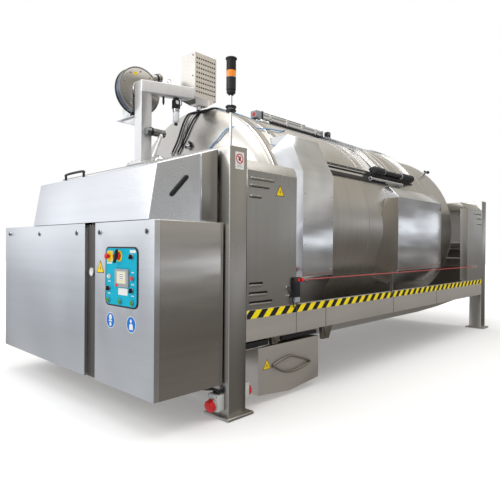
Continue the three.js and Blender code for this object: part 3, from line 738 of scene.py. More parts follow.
@build
def operator_panel():
    piece = Piece("operator_panel_plate", "panel_film", "control_door").of(BLACK)
    low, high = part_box("operator_panel")
    bottom = low.z + 0.03
    centre = (-(low.y + high.y) / 2, (bottom + high.z) / 2)
    wide, tall = high.y - low.y, high.z - bottom
    screen_u, screen_v = 0.831, 0.914
    glass, note = 0.01, 0.0106  # heights of the screen's housing and of its glass

    def plate(material, u, v, width, height, radius, start=FOIL, end=0.001, bevel=0.0):
        PANEL.layer(piece.of(material), round_box((u, v), (width, height), radius), start, end, bevel)

    plate(BLACK, *centre, wide, tall, 0.04, PANEL_FACE - DOOR_FACE + 0.0005, 0.0, 0.0006)
    plate(TEAL, *centre, wide - 0.022, tall - 0.02, 0.032, 0.0, FOIL)
    plate(GREY_PLASTIC, screen_u, screen_v, 0.152, 0.11, 0.008, FOIL, glass, 0.002)
    plate(CREAM, screen_u, screen_v + 0.004, 0.1, 0.074, 0.003, glass, note)
    plate(WHITE, screen_u + 0.004, screen_v + 0.01, 0.062, 0.04, 0.002, note, 0.0109)
    for i in range(3):
        plate(BLACK, screen_u + 0.004, screen_v + 0.022 - 0.012 * i, 0.044, 0.003, 0.001, 0.0109, 0.0111)
    plate(RED, screen_u - 0.052, screen_v - 0.045, 0.026, 0.018, 0.004, glass, 0.0112)
    plate(WHITE, 0.837, 0.831, 0.104, 0.042, 0.004)
    plate(WHITE, 0.944, 1.077, 0.062, 0.017, 0.002)
    plate(WHITE, 0.676, 1.003, 0.058, 0.01, 0.002)
    for u, v in ((0.676, 0.888), (0.944, 0.952), (0.676, 0.812), (0.944, 0.812), (0.944, 0.88)):
        plate(WHITE, u, v, 0.026, 0.006, 0.001, FOIL, 0.0007)
    lamp = (0.68, 0.919)
    piece.of(PALE).lathe(PANEL.at(*lamp), PANEL.out, [(0, 0.015), (0.006, 0.015), (0.008, 0.0135)], 28)
    piece.of(WHITE).lathe(PANEL.at(*lamp, 0.008), PANEL.out, [(0, 0.0115), (0.005, 0.0105), (0.008, 0.006),
        (0.009, 0)], 28)
    piece.done("operator_panel")


# Each device's place on the panel is the middle of its node.
PUSH_COLOURS = {"start_button_1": GREEN, "start_button_2": GREEN, "start_button_3": GREEN,
    "stop_button": RED}
SELECTORS = ("selector_mode", "selector_light", "selector_turn")
STANDOFF = 0.005  # a cap's back stands this far off the plate at rest


def device_place(node):
    centre = middle(node)
    return -centre.y, centre.z


def bezel(piece, place, inner, outer, height):
    piece.lathe(PANEL.at(*place, FOIL), PANEL.out, [(0, inner), (0, outer), (height * 0.6, outer),
        (height, outer - 0.0012), (height, inner)], 36, True)


@build
def bezels():
    piece = Piece("device_bezels", "bright_stainless", "control_door").of(MACHINED)
    for node in PUSH_COLOURS:
        bezel(piece, device_place(node), 0.0138, 0.0172, 0.0095)
    for node in SELECTORS:
        bezel(piece, device_place(node), 0.0148, 0.0178, 0.0065)
    piece.of(YELLOW)
    u, v = device_place("emergency_button")
    PANEL.layer(piece, round_box((u + 0.008, v), (0.064, 0.068), 0.006), FOIL, 0.0009)
    u, v = device_place("main_switch")
    bezel(piece, (u, v), 0.025, 0.035, 0.004)
    piece.of(RED)
    PANEL.layer(piece, disc((u - 0.058, v - 0.004), 0.018, 28), FOIL, 0.001)
    piece.done()


def stem(piece, node):
    place = device_place(node)
    piece.of(MACHINED).rod(PANEL.at(*place, STANDOFF), PANEL.at(*place, -0.028), 0.0095, 20)


for node, colour in PUSH_COLOURS.items():
    cap = Piece(f"{node}_cap", "red_plastic" if colour is RED else "green_plastic", node)
    stem(cap, node)
    cap.of(colour).lathe(PANEL.at(*device_place(node), STANDOFF), PANEL.out,
        [(0, 0.0118), (0.001, 0.0128), (0.006, 0.0128), (0.0078, 0.0112), (0.0072, 0.006), (0.007, 0)], 32)
    cap.done(node)

for node in SELECTORS:
    knob = Piece(f"{node}_knob", "black_plastic", node)
    stem(knob, node)
    knob.of(BLACK)
    u, v = device_place(node)
    knob.lathe(PANEL.at(u, v, STANDOFF), PANEL.out, [(0, 0.0138), (0.006, 0.0138), (0.008, 0.0122)], 32)
    PANEL.layer(knob, stadium((u, v - 0.01), (u, v + 0.01), 0.0042), 0.012, 0.024, 0.001)
    knob.of(WHITE)
    PANEL.layer(knob, stadium((u, v + 0.004), (u, v + 0.01), 0.0008, 4), 0.024, 0.0244)
    knob.done(node)


@build
def emergency_button():
    piece = Piece("emergency_button_cap", "red_plastic", "emergency_button")
    stem(piece, "emergency_button")
    piece.of(RED)
    profile = [(0, 0.012), (0.009, 0.012), (0.012, 0.0195), (0.016, 0.02), (0.021, 0.018), (0.0245, 0.011),
        (0.025, 0)]
    piece.lathe(PANEL.at(*device_place("emergency_button"), STANDOFF), PANEL.out, profile, 40)
    piece.done("emergency_button")


@build
def main_switch():
    piece = Piece("main_switch_handle", "red_plastic", "main_switch")
    stem(piece, "main_switch")
    u, v = device_place("main_switch")
    piece.of(RED).lathe(PANEL.at(u, v, STANDOFF), PANEL.out, [(0, 0.023), (0.002, 0.024), (0.009, 0.024),
        (0.012, 0.021)], 40)
    piece.of(BLACK)
    handle = [(-0.02, -0.042), (-0.012, -0.044), (0.004, -0.014), (0.014, -0.006), (0.012, 0.012),
        (0.02, 0.034), (0.016, 0.042), (0.008, 0.04), (-0.006, 0.014), (-0.014, 0.004), (-0.01, -0.014)]
    PANEL.layer(piece, [(u + a, v + b) for a, b in handle], 0.017, 0.034, 0.002)
    piece.done("main_switch")


@build
def gauge():
    """A dial on the narrow strip between the cabinets."""
    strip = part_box("drive_bay")[0]
    u, v = 0.41, 0.934
    face = Face((strip.x, 0, 0), -ACROSS, UP)
    piece = Piece("pressure_gauge", "bright_stainless").of(MACHINED)
    piece.lathe(face.at(u, v, -0.01), face.out, [(0, 0.02), (0.01, 0.02), (0.011, 0.03), (0.026, 0.03),
        (0.027, 0.0285), (0.0265, 0.026), (0.024, 0.026)], 40)
    piece.of(WHITE).lathe(face.at(u, v, 0.0138), face.out, [(0, 0.0258), (0.0008, 0.0258)], 40)
    piece.of(BLACK)
    for i in range(9):
        a = radians(225 - i * 33.75)
        inner, outer = (0.019, 0.0235)
        face.layer(piece, stadium((u + inner * cos(a), v + inner * sin(a)),
            (u + outer * cos(a), v + outer * sin(a)), 0.001, 3), 0.0146, 0.0149)
    face.layer(piece, stadium((u, v), (u + 0.013, v + 0.014), 0.0011, 4), 0.0149, 0.0154)
    piece.done()


@build
def bay_strip():
    """The face of the recess between the two doors, made dark with painted shade."""
    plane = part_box("drive_bay")[0].x
    left = -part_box("bay_cover")[0].y + 0.003
    right = -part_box("control_door")[1].y - 0.003
    low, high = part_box("control_door")[0].z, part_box("control_door")[1].z
    face = Face((plane, 0, 0), -ACROSS, UP)
    piece = Piece("bay_strip").of(STEEL_SHADED_STRIP)
    face.layer(piece, rect(left, low, right, high - 0.02), 0.0003, 0.0012)
    piece.done()


@build
def hood_trim():
    """The narrow panel beside the post in darker steel as painted shade, a bright strip as a painted highlight
    along its fold, a black strip as painted shade in the gap to the post, the black grip and the small handle
    on top.
    """
    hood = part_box("drive_hood")
    face = Face((NEAR_X, hood[0].y, 0), ALONG, UP)
    # Darker steel on the raised panel: painted shade on the hood's rounded corner.
    piece = Piece("hood_side_painted_light").of(STEEL_UPRIGHT)
    face.layer(piece, [(-0.152, 1.272), (-0.02, 1.272), (-0.022, 1.738), (-0.152, 1.694)], LIFT, 0.003,
        0.001)
    # A bright steel strip along the fold: painted highlight.
    piece.of(STEEL_BRIGHT)
    face.layer(piece, [(-0.161, 1.268), (-0.153, 1.268), (-0.153, 1.7), (-0.161, 1.697)], LIFT, 0.006,
        0.0015)
    # A black strip where the hood meets the post: painted shade in the gap.
    piece.of(SHADE_AND_SEAM_BLACK)
    face.layer(piece, [(-0.02, 1.268), (-0.0145, 1.268), (-0.0165, 1.742), (-0.022, 1.74)], LIFT, 0.001)
    piece.done()
    grip = Piece("hood_grip", "black_plastic").of(BLACK)
    face.layer(grip, stadium((-0.383, 1.42), (-0.275, 1.533), 0.013), LIFT, 0.012, 0.003)
    # A black plate in the grip's hollow: painted shade.
    grip.of(SHADE_AND_SEAM_BLACK)
    face.layer(grip, stadium((-0.376, 1.427), (-0.282, 1.526), 0.006), 0.012, 0.0124)
    grip.done()
    handle = Piece("hood_handle", "black_plastic").of(BLACK)
    x, y0, y1, low, top = -0.445, -0.126, 0.158, 1.602, 1.652
    path = [p(x, y0, low), p(x, y0, top - 0.018), p(x, y0 + 0.018, top), p(x, y1 - 0.018, top),
        p(x, y1, top - 0.018), p(x, y1, low)]
    handle.tube(smooth_path(path, 5), 0.009, 12)
    handle.done()


# ---- side: signs, louvres, hazard tape, brackets -------------------------------------------
def louvre(piece, face, start, end, height, cover):
    """A pressed lip along a slot's lower edge, over the given share of its height."""
    rings = []
    reach, rise, sides = (0.01 if cover > 0 else 0.0025), 0.02, 8
    for u in (start - 0.006, start + 0.004, end - 0.004, end + 0.006):
        scale = 0.15 if u in (start - 0.006, end + 0.006) else 1.0
        ring = []
        for i in range(sides + 1):
            a = pi * i / sides
            drop = (1 - cos(a)) / 2
            ring.append(face.at(u, height + cover * rise - rise * drop * scale - rise * (1 - scale) / 2,
                reach * sin(a) * scale + 0.0003))
        rings.append(piece.points(ring))
    return piece.rings(rings)


NEAR_LOUVRES = [(0.19, 0.425, 1.57, 0.55), (0.19, 0.371, 1.52, 0.7), (0.19, 0.294, 1.448, 0.7),
    (0.19, 0.311, 0.862, -0.3), (0.19, 0.36, 0.797, -0.3), (0.19, 0.412, 0.734, -0.3)]
FAR_LOUVRES = [(4.545, 4.769, 1.573, 0.55), (4.63, 4.771, 1.511, 0.55), (4.66, 4.774, 1.437, 0.55)]


def louvres(name, guard, slots):
    cutter = Piece("slots").of(STEEL_UPRIGHT)
    lips = Piece(f"{name}_louvres").of(STEEL_UPRIGHT)
    for start, end, height, cover in slots:
        SIDES.layer(cutter, stadium((start, height), (end, height), 0.009, 6), -0.02, 0.02)
        louvre(lips, SIDES, start, end, height, cover)
    cutter.cut(bpy.data.objects[f"{guard}_skin"])
    # A black sheet just behind the slots: painted shade inside the guard.
    lips.of(SHADE_AND_SEAM_BLACK)
    us = [s[0] for s in slots] + [s[1] for s in slots]
    for low, high in ((0.7, 0.89), (1.4, 1.6)):
        if any(low < s[2] < high for s in slots):
            SIDES.layer(lips, rect(min(us) - 0.02, low, max(us) + 0.02, high), -0.0075, -0.0055)
    lips.done()


@build
def guard_edges():
    """The guards' free edges lean inwards towards the drum."""
    for name, edge, turn in (("near", 0.75, 1), ("far", 4.2, -1)):
        for side, sign in (("right", -1), ("left", 1)):
            face, deep = 1.2 * sign, 1.136 * sign
            fold = edge - 0.062 * turn
            cutter = Piece("edge").of(STEEL_UPRIGHT)
            outline = [(fold, face + 0.02 * sign), (edge + 0.02 * turn, face + 0.02 * sign),
                (edge + 0.02 * turn, deep), (edge, deep), (fold, face)]
            cutter.prism([p(x, y, 0.6) for x, y in outline], UP * 1.2)
            cutter.cut(bpy.data.objects[f"{name}_guard_{side}_skin"])
            low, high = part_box(f"{name}_guard_{side}")
            plate = Piece(f"{name}_guard_{side}_edge").of(STEEL_UPRIGHT)
            thick = 0.004
            outline = [(fold, face), (edge, deep), (edge, deep - thick * sign), (fold, face - thick * sign)]
            plate.prism([p(x, y, low.z) for x, y in outline], UP * (GUARD_FOLD - low.z), 0.0008)
            plate.done()


louvres("near", "near_guard_right", NEAR_LOUVRES)
louvres("far", "far_guard_right", FAR_LOUVRES)


@build
def no_entry_sign():
    """A white plate with a red ring and bar over a plain hand, and no words."""
    piece = Piece("reach_sign", "panel_film").of(WHITE)
    cu, cv = 0.0855, 1.683
    SIDES.layer(piece, round_box((cu, cv - 0.012), (0.08, 0.112), 0.004), LIFT, FILM)
    piece.of(BLACK)
    SIDES.layer(piece, round_box((cu, cv - 0.004), (0.02, 0.018), 0.004), FILM, INK)
    for finger in range(4):
        u = cu - 0.008 + 0.0053 * finger
        SIDES.layer(piece, stadium((u, cv), (u, cv + 0.014), 0.002, 4), FILM, INK)
    piece.of(RED_FILM)
    place = SIDES.at(cu, cv, INK)
    piece.collar(place, SIDES.out, 0.026, 0.033, FILM, 40)
    SIDES.layer(piece, stadium((cu - 0.02, cv + 0.02), (cu + 0.02, cv - 0.02), 0.003, 4), INK, FILM * 2.4)
    piece.of(GREY_PLASTIC)
    for i in range(2):
        SIDES.layer(piece, round_box((cu, cv - 0.044 - 0.009 * i), (0.05, 0.003), 0.001), FILM, FILM * 1.4)
    piece.done()


SKIRT_SEAMS = [0.695, 1.08, 2.24, 3.29]
SKIRT_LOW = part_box("side_skirt_right")[0].z
SKIRT_ENDS = [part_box("side_skirt_right")[i].x - NEAR_X for i in (0, 1)]


@build
def skirt_details():
    mirror = Face((NEAR_X, -SIDE, 0), -ALONG, UP)
    for side, face, sign in (("right", SIDES, 1), ("left", mirror, -1)):
        tape = Piece(f"hazard_tape_{side}", "panel_film").of(HAZARD)
        seams = Piece(f"skirt_seams_{side}").of(SHADE_AND_SEAM_BLACK)
        edges = [SKIRT_ENDS[0], *SKIRT_SEAMS, SKIRT_ENDS[1]]
        for start, end in zip(edges, edges[1:]):
            us = sorted((sign * (start + 0.004), sign * (end - 0.004)))
            face.layer(tape, rect(us[0], SKIRT_TOP - 0.06, us[1], SKIRT_TOP - 0.004), LIFT, 0.0008)
        for seam in SKIRT_SEAMS:
            us = sorted((sign * (seam - 0.002), sign * (seam + 0.002)))
            face.layer(seams, rect(us[0], SKIRT_LOW, us[1], SKIRT_TOP), LIFT, 0.001)
        tape.done()
        seams.done()


@build
def hangers():
    """Trapezoid brackets and the drawer's rails under the right skirt."""
    face = Face((NEAR_X, SIDE + 0.045, 0), ALONG, UP)
    piece = Piece("tray_hangers").of(STEEL_HOOP)
    for start, end, low in ((0.467, 0.576, 0.408), (1.09, 1.25, 0.36)):
        inset = (end - start) * 0.22
        face.layer(piece, [(start, SKIRT_LOW - 0.002), (start + 0.3 * inset, low), (end - 1.6 * inset, low),
            (end, SKIRT_LOW - 0.002)], -0.03, 0.0, 0.002)
        face.layer(piece, [(start + 0.2 * inset, SKIRT_LOW - 0.004), (start + inset * 1.6, low + 0.015),
            ((start + end) / 2, low + 0.05)], 0.0, 0.012, 0.001)
    piece.of(BLACK).box(p(0.165, SIDE + 0.05, 0.412), p(0.44, SIDE + 0.11, 0.45), 0.003)
    piece.box(p(0.6, SIDE + 0.06, 0.418), p(1.04, SIDE + 0.085, 0.446), 0.003)
    piece.of(STEEL_BRIGHT).box(p(0.162, SIDE + 0.046, 0.404), p(0.33, SIDE + 0.058, 0.412), 0.001)
    piece.done()


@build
def drawer_handle():
    """A cornered loop of round bar, in place of the frame's straight grip."""
    skin = bpy.data.objects["drain_drawer_skin"]
    front = skin.data
    bm = bmesh.new()
    bm.from_mesh(front)
    gone = [v for v in bm.verts if v.co.y < DRAWER_FRONT - 0.0005]
    bmesh.ops.delete(bm, geom=gone, context="VERTS")
    bmesh.ops.holes_fill(bm, edges=[e for e in bm.edges if e.is_boundary], sides=0)
    bm.to_mesh(front)
    bm.free()
    face = Face((NEAR_X, DRAWER_FRONT, 0), ALONG, UP)
    piece = Piece("drawer_handle", "stainless", "drain_drawer").of(STEEL_HOOP)
    loop = [(0.487, 0.256), (0.5, 0.268), (0.62, 0.292), (0.7, 0.292), (0.88, 0.236), (0.915, 0.216),
        (0.895, 0.204), (0.79, 0.184), (0.7, 0.178), (0.6, 0.192), (0.5, 0.24)]
    points = [face.at(u, v, 0.016) for u, v in loop]
    ends = smooth_path([points[-1], *points, points[0], points[1]], 5)
    piece.tube(ends[5:-5], 0.0085, 14)
    for u, v in (loop[0], loop[5]):
        piece.rod(face.at(u, v, -0.001), face.at(u, v, 0.016), 0.008, 18, 0.001)
        piece.lathe(face.at(u, v, 0), face.out, [(0, 0.017), (0.003, 0.017), (0.005, 0.014)], 24)
    piece.done()


warning_sign("drawer_warning", "drain_drawer", Face((NEAR_X, DRAWER_FRONT, 0), ALONG, UP), (0.425, 0.262),
    0.09)


# ---- power inlets and cables ---------------------------------------------------------------
def inlet(name, face, centre, body_depth, slot, replaced=()):
    """A pale socket body with a red screwed cap that tilts down."""
    u, v = centre
    piece = Piece(name, slot).of(PALE)
    face.layer(piece, round_box((u, v), (0.098, 0.108), 0.01), 0.0006, body_depth, 0.004)
    place = face.at(u, v - 0.008, body_depth - 0.004)
    tilt = (face.out - face.v * 0.3 + face.u * 0.12).normalized()
    piece.lathe(place, tilt, [(0, 0.034), (0.02, 0.034), (0.022, 0.031)], 32)
    piece.of(RED).lathe(place + tilt * 0.014, tilt, [(0, 0.036), (0.004, 0.0385), (0.026, 0.0385),
        (0.031, 0.035), (0.033, 0.028), (0.0335, 0)], 40)
    side = tilt.orthogonal().normalized()
    for rib in circle(place + tilt * 0.02, 0.038, 10, 0.0, side, tilt.cross(side)):
        piece.rod(rib, rib + tilt * 0.02, 0.003, 8)
    hinge = place + tilt * 0.02 + face.v * 0.036
    piece.rod(hinge - face.u * 0.014, hinge + face.u * 0.014, 0.006, 14)
    piece.of(MACHINED)
    for du in (-0.04, 0.04):
        piece.bolt(face.at(u + du, v + 0.045, body_depth), face.out, 0.0035)
    piece.done(*replaced)


POST_FRONT = Face((NEAR_X, 0, 0), -ACROSS, UP)
POST_BACK = Face((NEAR_X + POST, 0, 0), ACROSS, UP)
inlet("power_inlet_cap", POST_FRONT, (1.115, 0.105), 0.06, "red_plastic", ("power_inlet",))
inlet("outlet_socket", POST_BACK, (-1.135, 0.145), 0.05, "red_plastic")


@build
def inlet_cables():
    piece = Piece("inlet_cables", "black_plastic").of(RUBBER)
    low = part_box("control_cabinet")[0].z
    for start, end, sag in ((1.1, 1.06, -0.03), (1.125, 1.02, -0.055), (1.14, 0.96, -0.07)):
        top = p(-0.03, -start, 0.158)
        path = [top, top + Vector((-0.012, 0.006, 0.03)), p(-0.085, -(start + end) / 2, low + sag * 0.5),
            p(-0.15, -end, low + sag * 0.35), p(-0.175, -end + 0.02, low + 0.002)]
        piece.tube(smooth_path(path, 6), 0.0075, 12)
    piece.of(BLACK)
    for start in (1.1, 1.125, 1.14):
        piece.rod(p(-0.03, -start, 0.156), p(-0.03, -start, 0.172), 0.011, 12, 0.002)
    for end in (1.06, 1.02, 0.96):
        piece.rod(p(-0.175, -end + 0.02, low - 0.01), p(-0.175, -end + 0.02, low + 0.0005), 0.012, 12, 0.002)
    piece.done()


# ---- rope-pull stop ------------------------------------------------------------------------
ROPE_Y = middle("pull_rope").y
ROPE_Z = middle("pull_rope").z
ROPE_X = [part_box("pull_rope")[i].x for i in (0, 1)]


@build
def rope_switch():
    low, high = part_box("rope_switch")
    back = SIDE - 0.0005
    piece = Piece("rope_switch_body", "black_plastic").of(BLACK)
    body_end = p(0.715, 0, 0).x
    piece.box((low.x, low.y + 0.012, low.z + 0.038), (body_end, back, high.z), 0.004)
    piece.of(GREY_PLASTIC).box((low.x + 0.012, low.y + 0.012, low.z), (body_end - 0.004, back, low.z + 0.04),
        0.003)
    piece.of(BLACK).box((low.x + 0.008, low.y + 0.008, low.z + 0.06),
        (body_end - 0.008, low.y + 0.013, high.z - 0.03), 0.0015)
    piece.of(RED)
    barrel = [(0, 0.0105), (0, 0.0165), (0.022, 0.0165), (0.03, 0.015), (0.03, 0.0105)]
    piece.lathe((body_end, ROPE_Y, ROPE_Z), ALONG, barrel, 28, True)
    piece.lathe((body_end - 0.03, low.y + 0.012, ROPE_Z + 0.001), -ACROSS,
        [(0, 0.013), (0.009, 0.013), (0.012, 0.009)], 24)
    piece.of(BLUE_FILM).lathe((body_end - 0.01, low.y + 0.012, ROPE_Z - 0.022), -ACROSS,
        [(0, 0.007), (0.005, 0.007), (0.006, 0.005)], 20)
    piece.of(MACHINED)
    for dz in (0.012, 0.03):
        piece.bolt((low.x + 0.016, low.y + 0.012, high.z - dz), -ACROSS, 0.0035)
    piece.done("rope_switch")


@build
def switch_cables():
    """A black lead that loops from the switch's foot into the skirt, and a small clip on the guard."""
    low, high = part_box("rope_switch")
    y = SIDE - 0.016
    piece = Piece("switch_cables", "black_plastic").of(RUBBER)
    foot = Vector((low.x + 0.036, y, low.z + 0.002))
    loop = [(0, 0, 0), (0.004, 0, -0.03), (-0.02, 0.002, -0.04), (-0.046, 0.002, 0.01), (-0.05, 0.002, 0.07),
        (-0.074, 0.002, 0.105), (-0.1, 0.006, 0.118), (-0.104, 0.0155, 0.118)]
    piece.tube(smooth_path([foot + Vector(step) for step in loop], 6), 0.0042, 10)
    piece.of(GREY_PLASTIC).lathe(Vector((foot.x - 0.104, SIDE, foot.z + 0.118)), -ACROSS,
        [(0, 0.01), (0.006, 0.01), (0.008, 0.007)], 18)
    piece.of(STEEL_BRIGHT).box((low.x - 0.07, SIDE - 0.004, low.z + 0.05),
        (low.x - 0.002, SIDE - 0.0003, low.z + 0.062), 0.001)
    piece.of(MACHINED).bolt((low.x - 0.06, SIDE - 0.004, low.z + 0.056), -ACROSS, 0.005)
    piece.done()


def declare_cord(name, body, slot, material, path, radius, replaces=()):
    """A cord that ends in the object at both ends, as long as its path."""
    piece = Piece(name, slot, body).of(material)
    piece.tube(path, radius, 12)
    cord = piece.done(*replaces)


@build
def pull_rope():
    piece = Piece("pull_rope_fittings", "bright_stainless", "pull_rope").of(MACHINED)
    start = Vector((ROPE_X[0], ROPE_Y, ROPE_Z))
    thimble = p(0.79, ROPE_Y, ROPE_Z)
    piece.rod(start, p(0.768, ROPE_Y, ROPE_Z), 0.0065, 20, 0.001)
    piece.tube(circle(thimble, 1.0, 24, 0.0, ALONG * 0.022, UP * 0.01), 0.0022, 8)
    for x in (0.815, 0.832):
        centre = p(x, ROPE_Y, ROPE_Z)
        piece.box(centre - Vector((0.005, 0.006, 0.007)), centre + Vector((0.005, 0.006, 0.007)), 0.0015)
    piece.rod((ROPE_X[1] - 0.03, ROPE_Y, ROPE_Z), (ROPE_X[1], ROPE_Y, ROPE_Z), 0.0062, 20, 0.001)
    fittings = piece.done("pull_rope")
    steps = 24
    route = [start.lerp(Vector((ROPE_X[1], ROPE_Y, ROPE_Z)), i / steps) for i in range(steps + 1)]
    declare_cord("pull_rope_cable", "pull_rope", "red_rope", CORD_RED, route, 0.0032,
        ["pull_rope"])


dress("rope_eye_middle", STEEL_BRIGHT, rim=0.0006)
dress("rope_eye_end", STEEL_BRIGHT, rim=0.0006)


# ---- stack light ---------------------------------------------------------------------------
@build
def stack_light():
    centre = middle("stack_light")
    low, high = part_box("stack_light")
    at = Vector((centre.x, centre.y, 0))
    piece = Piece("stack_light_tower", "signal_lens").of(MACHINED)

    def turned(start, end, radius, edge=0.003, material=None, sides=40):
        if material:
            piece.of(material)
        piece.lathe(at + UP * start, UP, [(0, radius - edge), (edge, radius), (end - start - edge, radius),
            (end - start, radius - edge)], sides)

    turned(low.z, low.z + 0.008, 0.034, 0.002, BLACK)
    turned(low.z + 0.008, 2.007, 0.0095, 0.001, STEEL_BRIGHT, 24)
    turned(2.002, 2.015, 0.035, 0.003, BLACK)
    turned(2.015, 2.025, 0.02, 0.001, PALE)
    turned(2.025, 2.041, 0.036, 0.004, BLACK)
    turned(2.042, 2.122, 0.0095, 0.001, STEEL_BRIGHT, 24)
    turned(2.11, 2.122, 0.018, 0.003, BLACK)
    turned(2.12, 2.146, 0.03, 0.006, BLACK)
    turned(2.144, 2.226, 0.032, 0.001, BLACK)
    turned(2.2255, 2.2285, 0.0335, 0.0006, GREY_PLASTIC)
    turned(2.228, 2.272, 0.0322, 0.001, LENS)
    turned(2.2715, 2.2745, 0.0335, 0.0006, BLACK)
    turned(2.274, 2.34, 0.03, 0.001, BLACK)
    for i in range(4):
        turned(2.282 + 0.014 * i, 2.288 + 0.014 * i, 0.0325, 0.001, BLACK)
    turned(2.336, 2.346, 0.033, 0.003, BLACK)
    turned(2.345, 2.358, 0.0385, 0.004, BLACK)
    piece.done("stack_light")


# ---- mast, vent box, blower, valve, regulator ----------------------------------------------
@build
def mast_fittings():
    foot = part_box("mast")[0]
    piece = Piece("mast_fittings", "bright_stainless").of(MACHINED)
    for x, y in ((0.02, -0.165), (0.02, 0.025), (0.142, 0.025), (0.142, -0.165)):
        piece.bolt(p(x, y, foot.z + 0.0155), UP, 0.009)
    for x, y in ((0.034, -0.138), (0.034, -0.002), (0.15, -0.002)):
        piece.bolt(p(x, y, foot.z + 0.0355), UP, 0.005)
    piece.of(WELD).tube([p(0.043, -0.122, 1.802), p(0.147, -0.122, 1.802)], 0.004, 8)
    piece.tube([p(0.043, -0.122, 1.802), p(0.043, -0.018, 1.802)], 0.004, 8)
    piece.of(STEEL_BRIGHT).box(p(0.03, -0.018, 2.17), p(0.16, 0.235, 2.176), 0.001)
    for x in (0.05, 0.136):
        web = [p(x, -0.0195, 2.1695), p(x, 0.2, 2.1695), p(x, -0.0195, 2.09)]
        piece.prism(web, ALONG * 0.005, 0.0008)
    piece.box(p(0.085, 0.11, 2.1765), p(0.143, 0.23, 2.318), 0.002)
    piece.of(STEEL_LEVEL).box(p(0.1, -0.16, POST_TOP + 0.0005), p(0.29, -0.04, POST_TOP + 0.008), 0.001)
    piece.of(STEEL_BRIGHT).lathe(p(0.225, -0.1, POST_TOP + 0.008), UP,
        [(0, 0.058), (0.04, 0.058), (0.07, 0.05), (0.092, 0.03), (0.1, 0)], 40)
    piece.of(BLACK).collar(p(0.225, -0.1, POST_TOP + 0.02), UP, 0.056, 0.061, 0.012, 40)
    piece.rod(p(0.255, -0.125, 2.3), p(0.255, -0.125, 2.356), 0.009, 16, 0.002)
    piece.rod(p(0.255, -0.125, 2.29), p(0.255, -0.125, 2.302), 0.006, 12)
    piece.done()


BOX_FLOOR = 2.381  # bottom edge of the vent box's walls


@build
def vent_holes():
    low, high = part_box("vent_box")
    skin = bpy.data.objects["vent_box_skin"]
    columns, rows, pitch_x, pitch_z = 9, 8, 0.0245, 0.0405
    cutter = Piece("holes", "bright_stainless").of(STEEL_BRIGHT)
    for i in range(columns):
        for j in range(rows):
            place = Vector((low.x + 0.022 + pitch_x * i, low.y - 0.01, high.z - 0.046 - pitch_z * j))
            cutter.rod(place, place + ACROSS * 0.02, 0.008, 14)
    cutter.cut(skin)
    below = Piece("below").of(STEEL_VENT)
    below.box((low.x - 0.1, low.y - 0.1, low.z - 0.1), (high.x + 0.1, high.y + 0.1, BOX_FLOOR), 0)
    below.cut(skin)
    # A black box behind the holes: painted shade inside the vent box.
    piece = Piece("vent_box_inner_shade_and_fittings", "black_plastic").of(SHADE_AND_SEAM_BLACK)
    piece.box((low.x + 0.006, low.y + 0.008, 2.392), (high.x - 0.006, low.y + 0.02, high.z - 0.006), 0.001)
    piece.of(MACHINED)
    for z in (high.z - 0.02, 2.56):
        piece.bolt((low.x, low.y + 0.03, z), -ALONG, 0.005)
    piece.of(STEEL_BRIGHT).box((low.x, low.y + 0.001, high.z - 0.002),
        (high.x, high.y - 0.001, high.z - 0.0001), 0.0008)
    rings = []
    for inset, z in ((0.0, BOX_FLOOR), (0.004, BOX_FLOOR - 0.004), (0.05, 2.342), (0.054, 2.336)):
        corners = rect(low.x + inset, low.y + inset, high.x - inset, high.y - inset)
        rings.append(piece.points((x, y, z) for x, y in corners))
    piece.rings(rings)
    piece.lathe(((low.x + high.x) / 2, (low.y + high.y) / 2, 2.34), -UP,
        [(0, 0.026), (0.006, 0.026), (0.008, 0.021), (0.036, 0.021), (0.04, 0.018)], 28)
    piece.done()


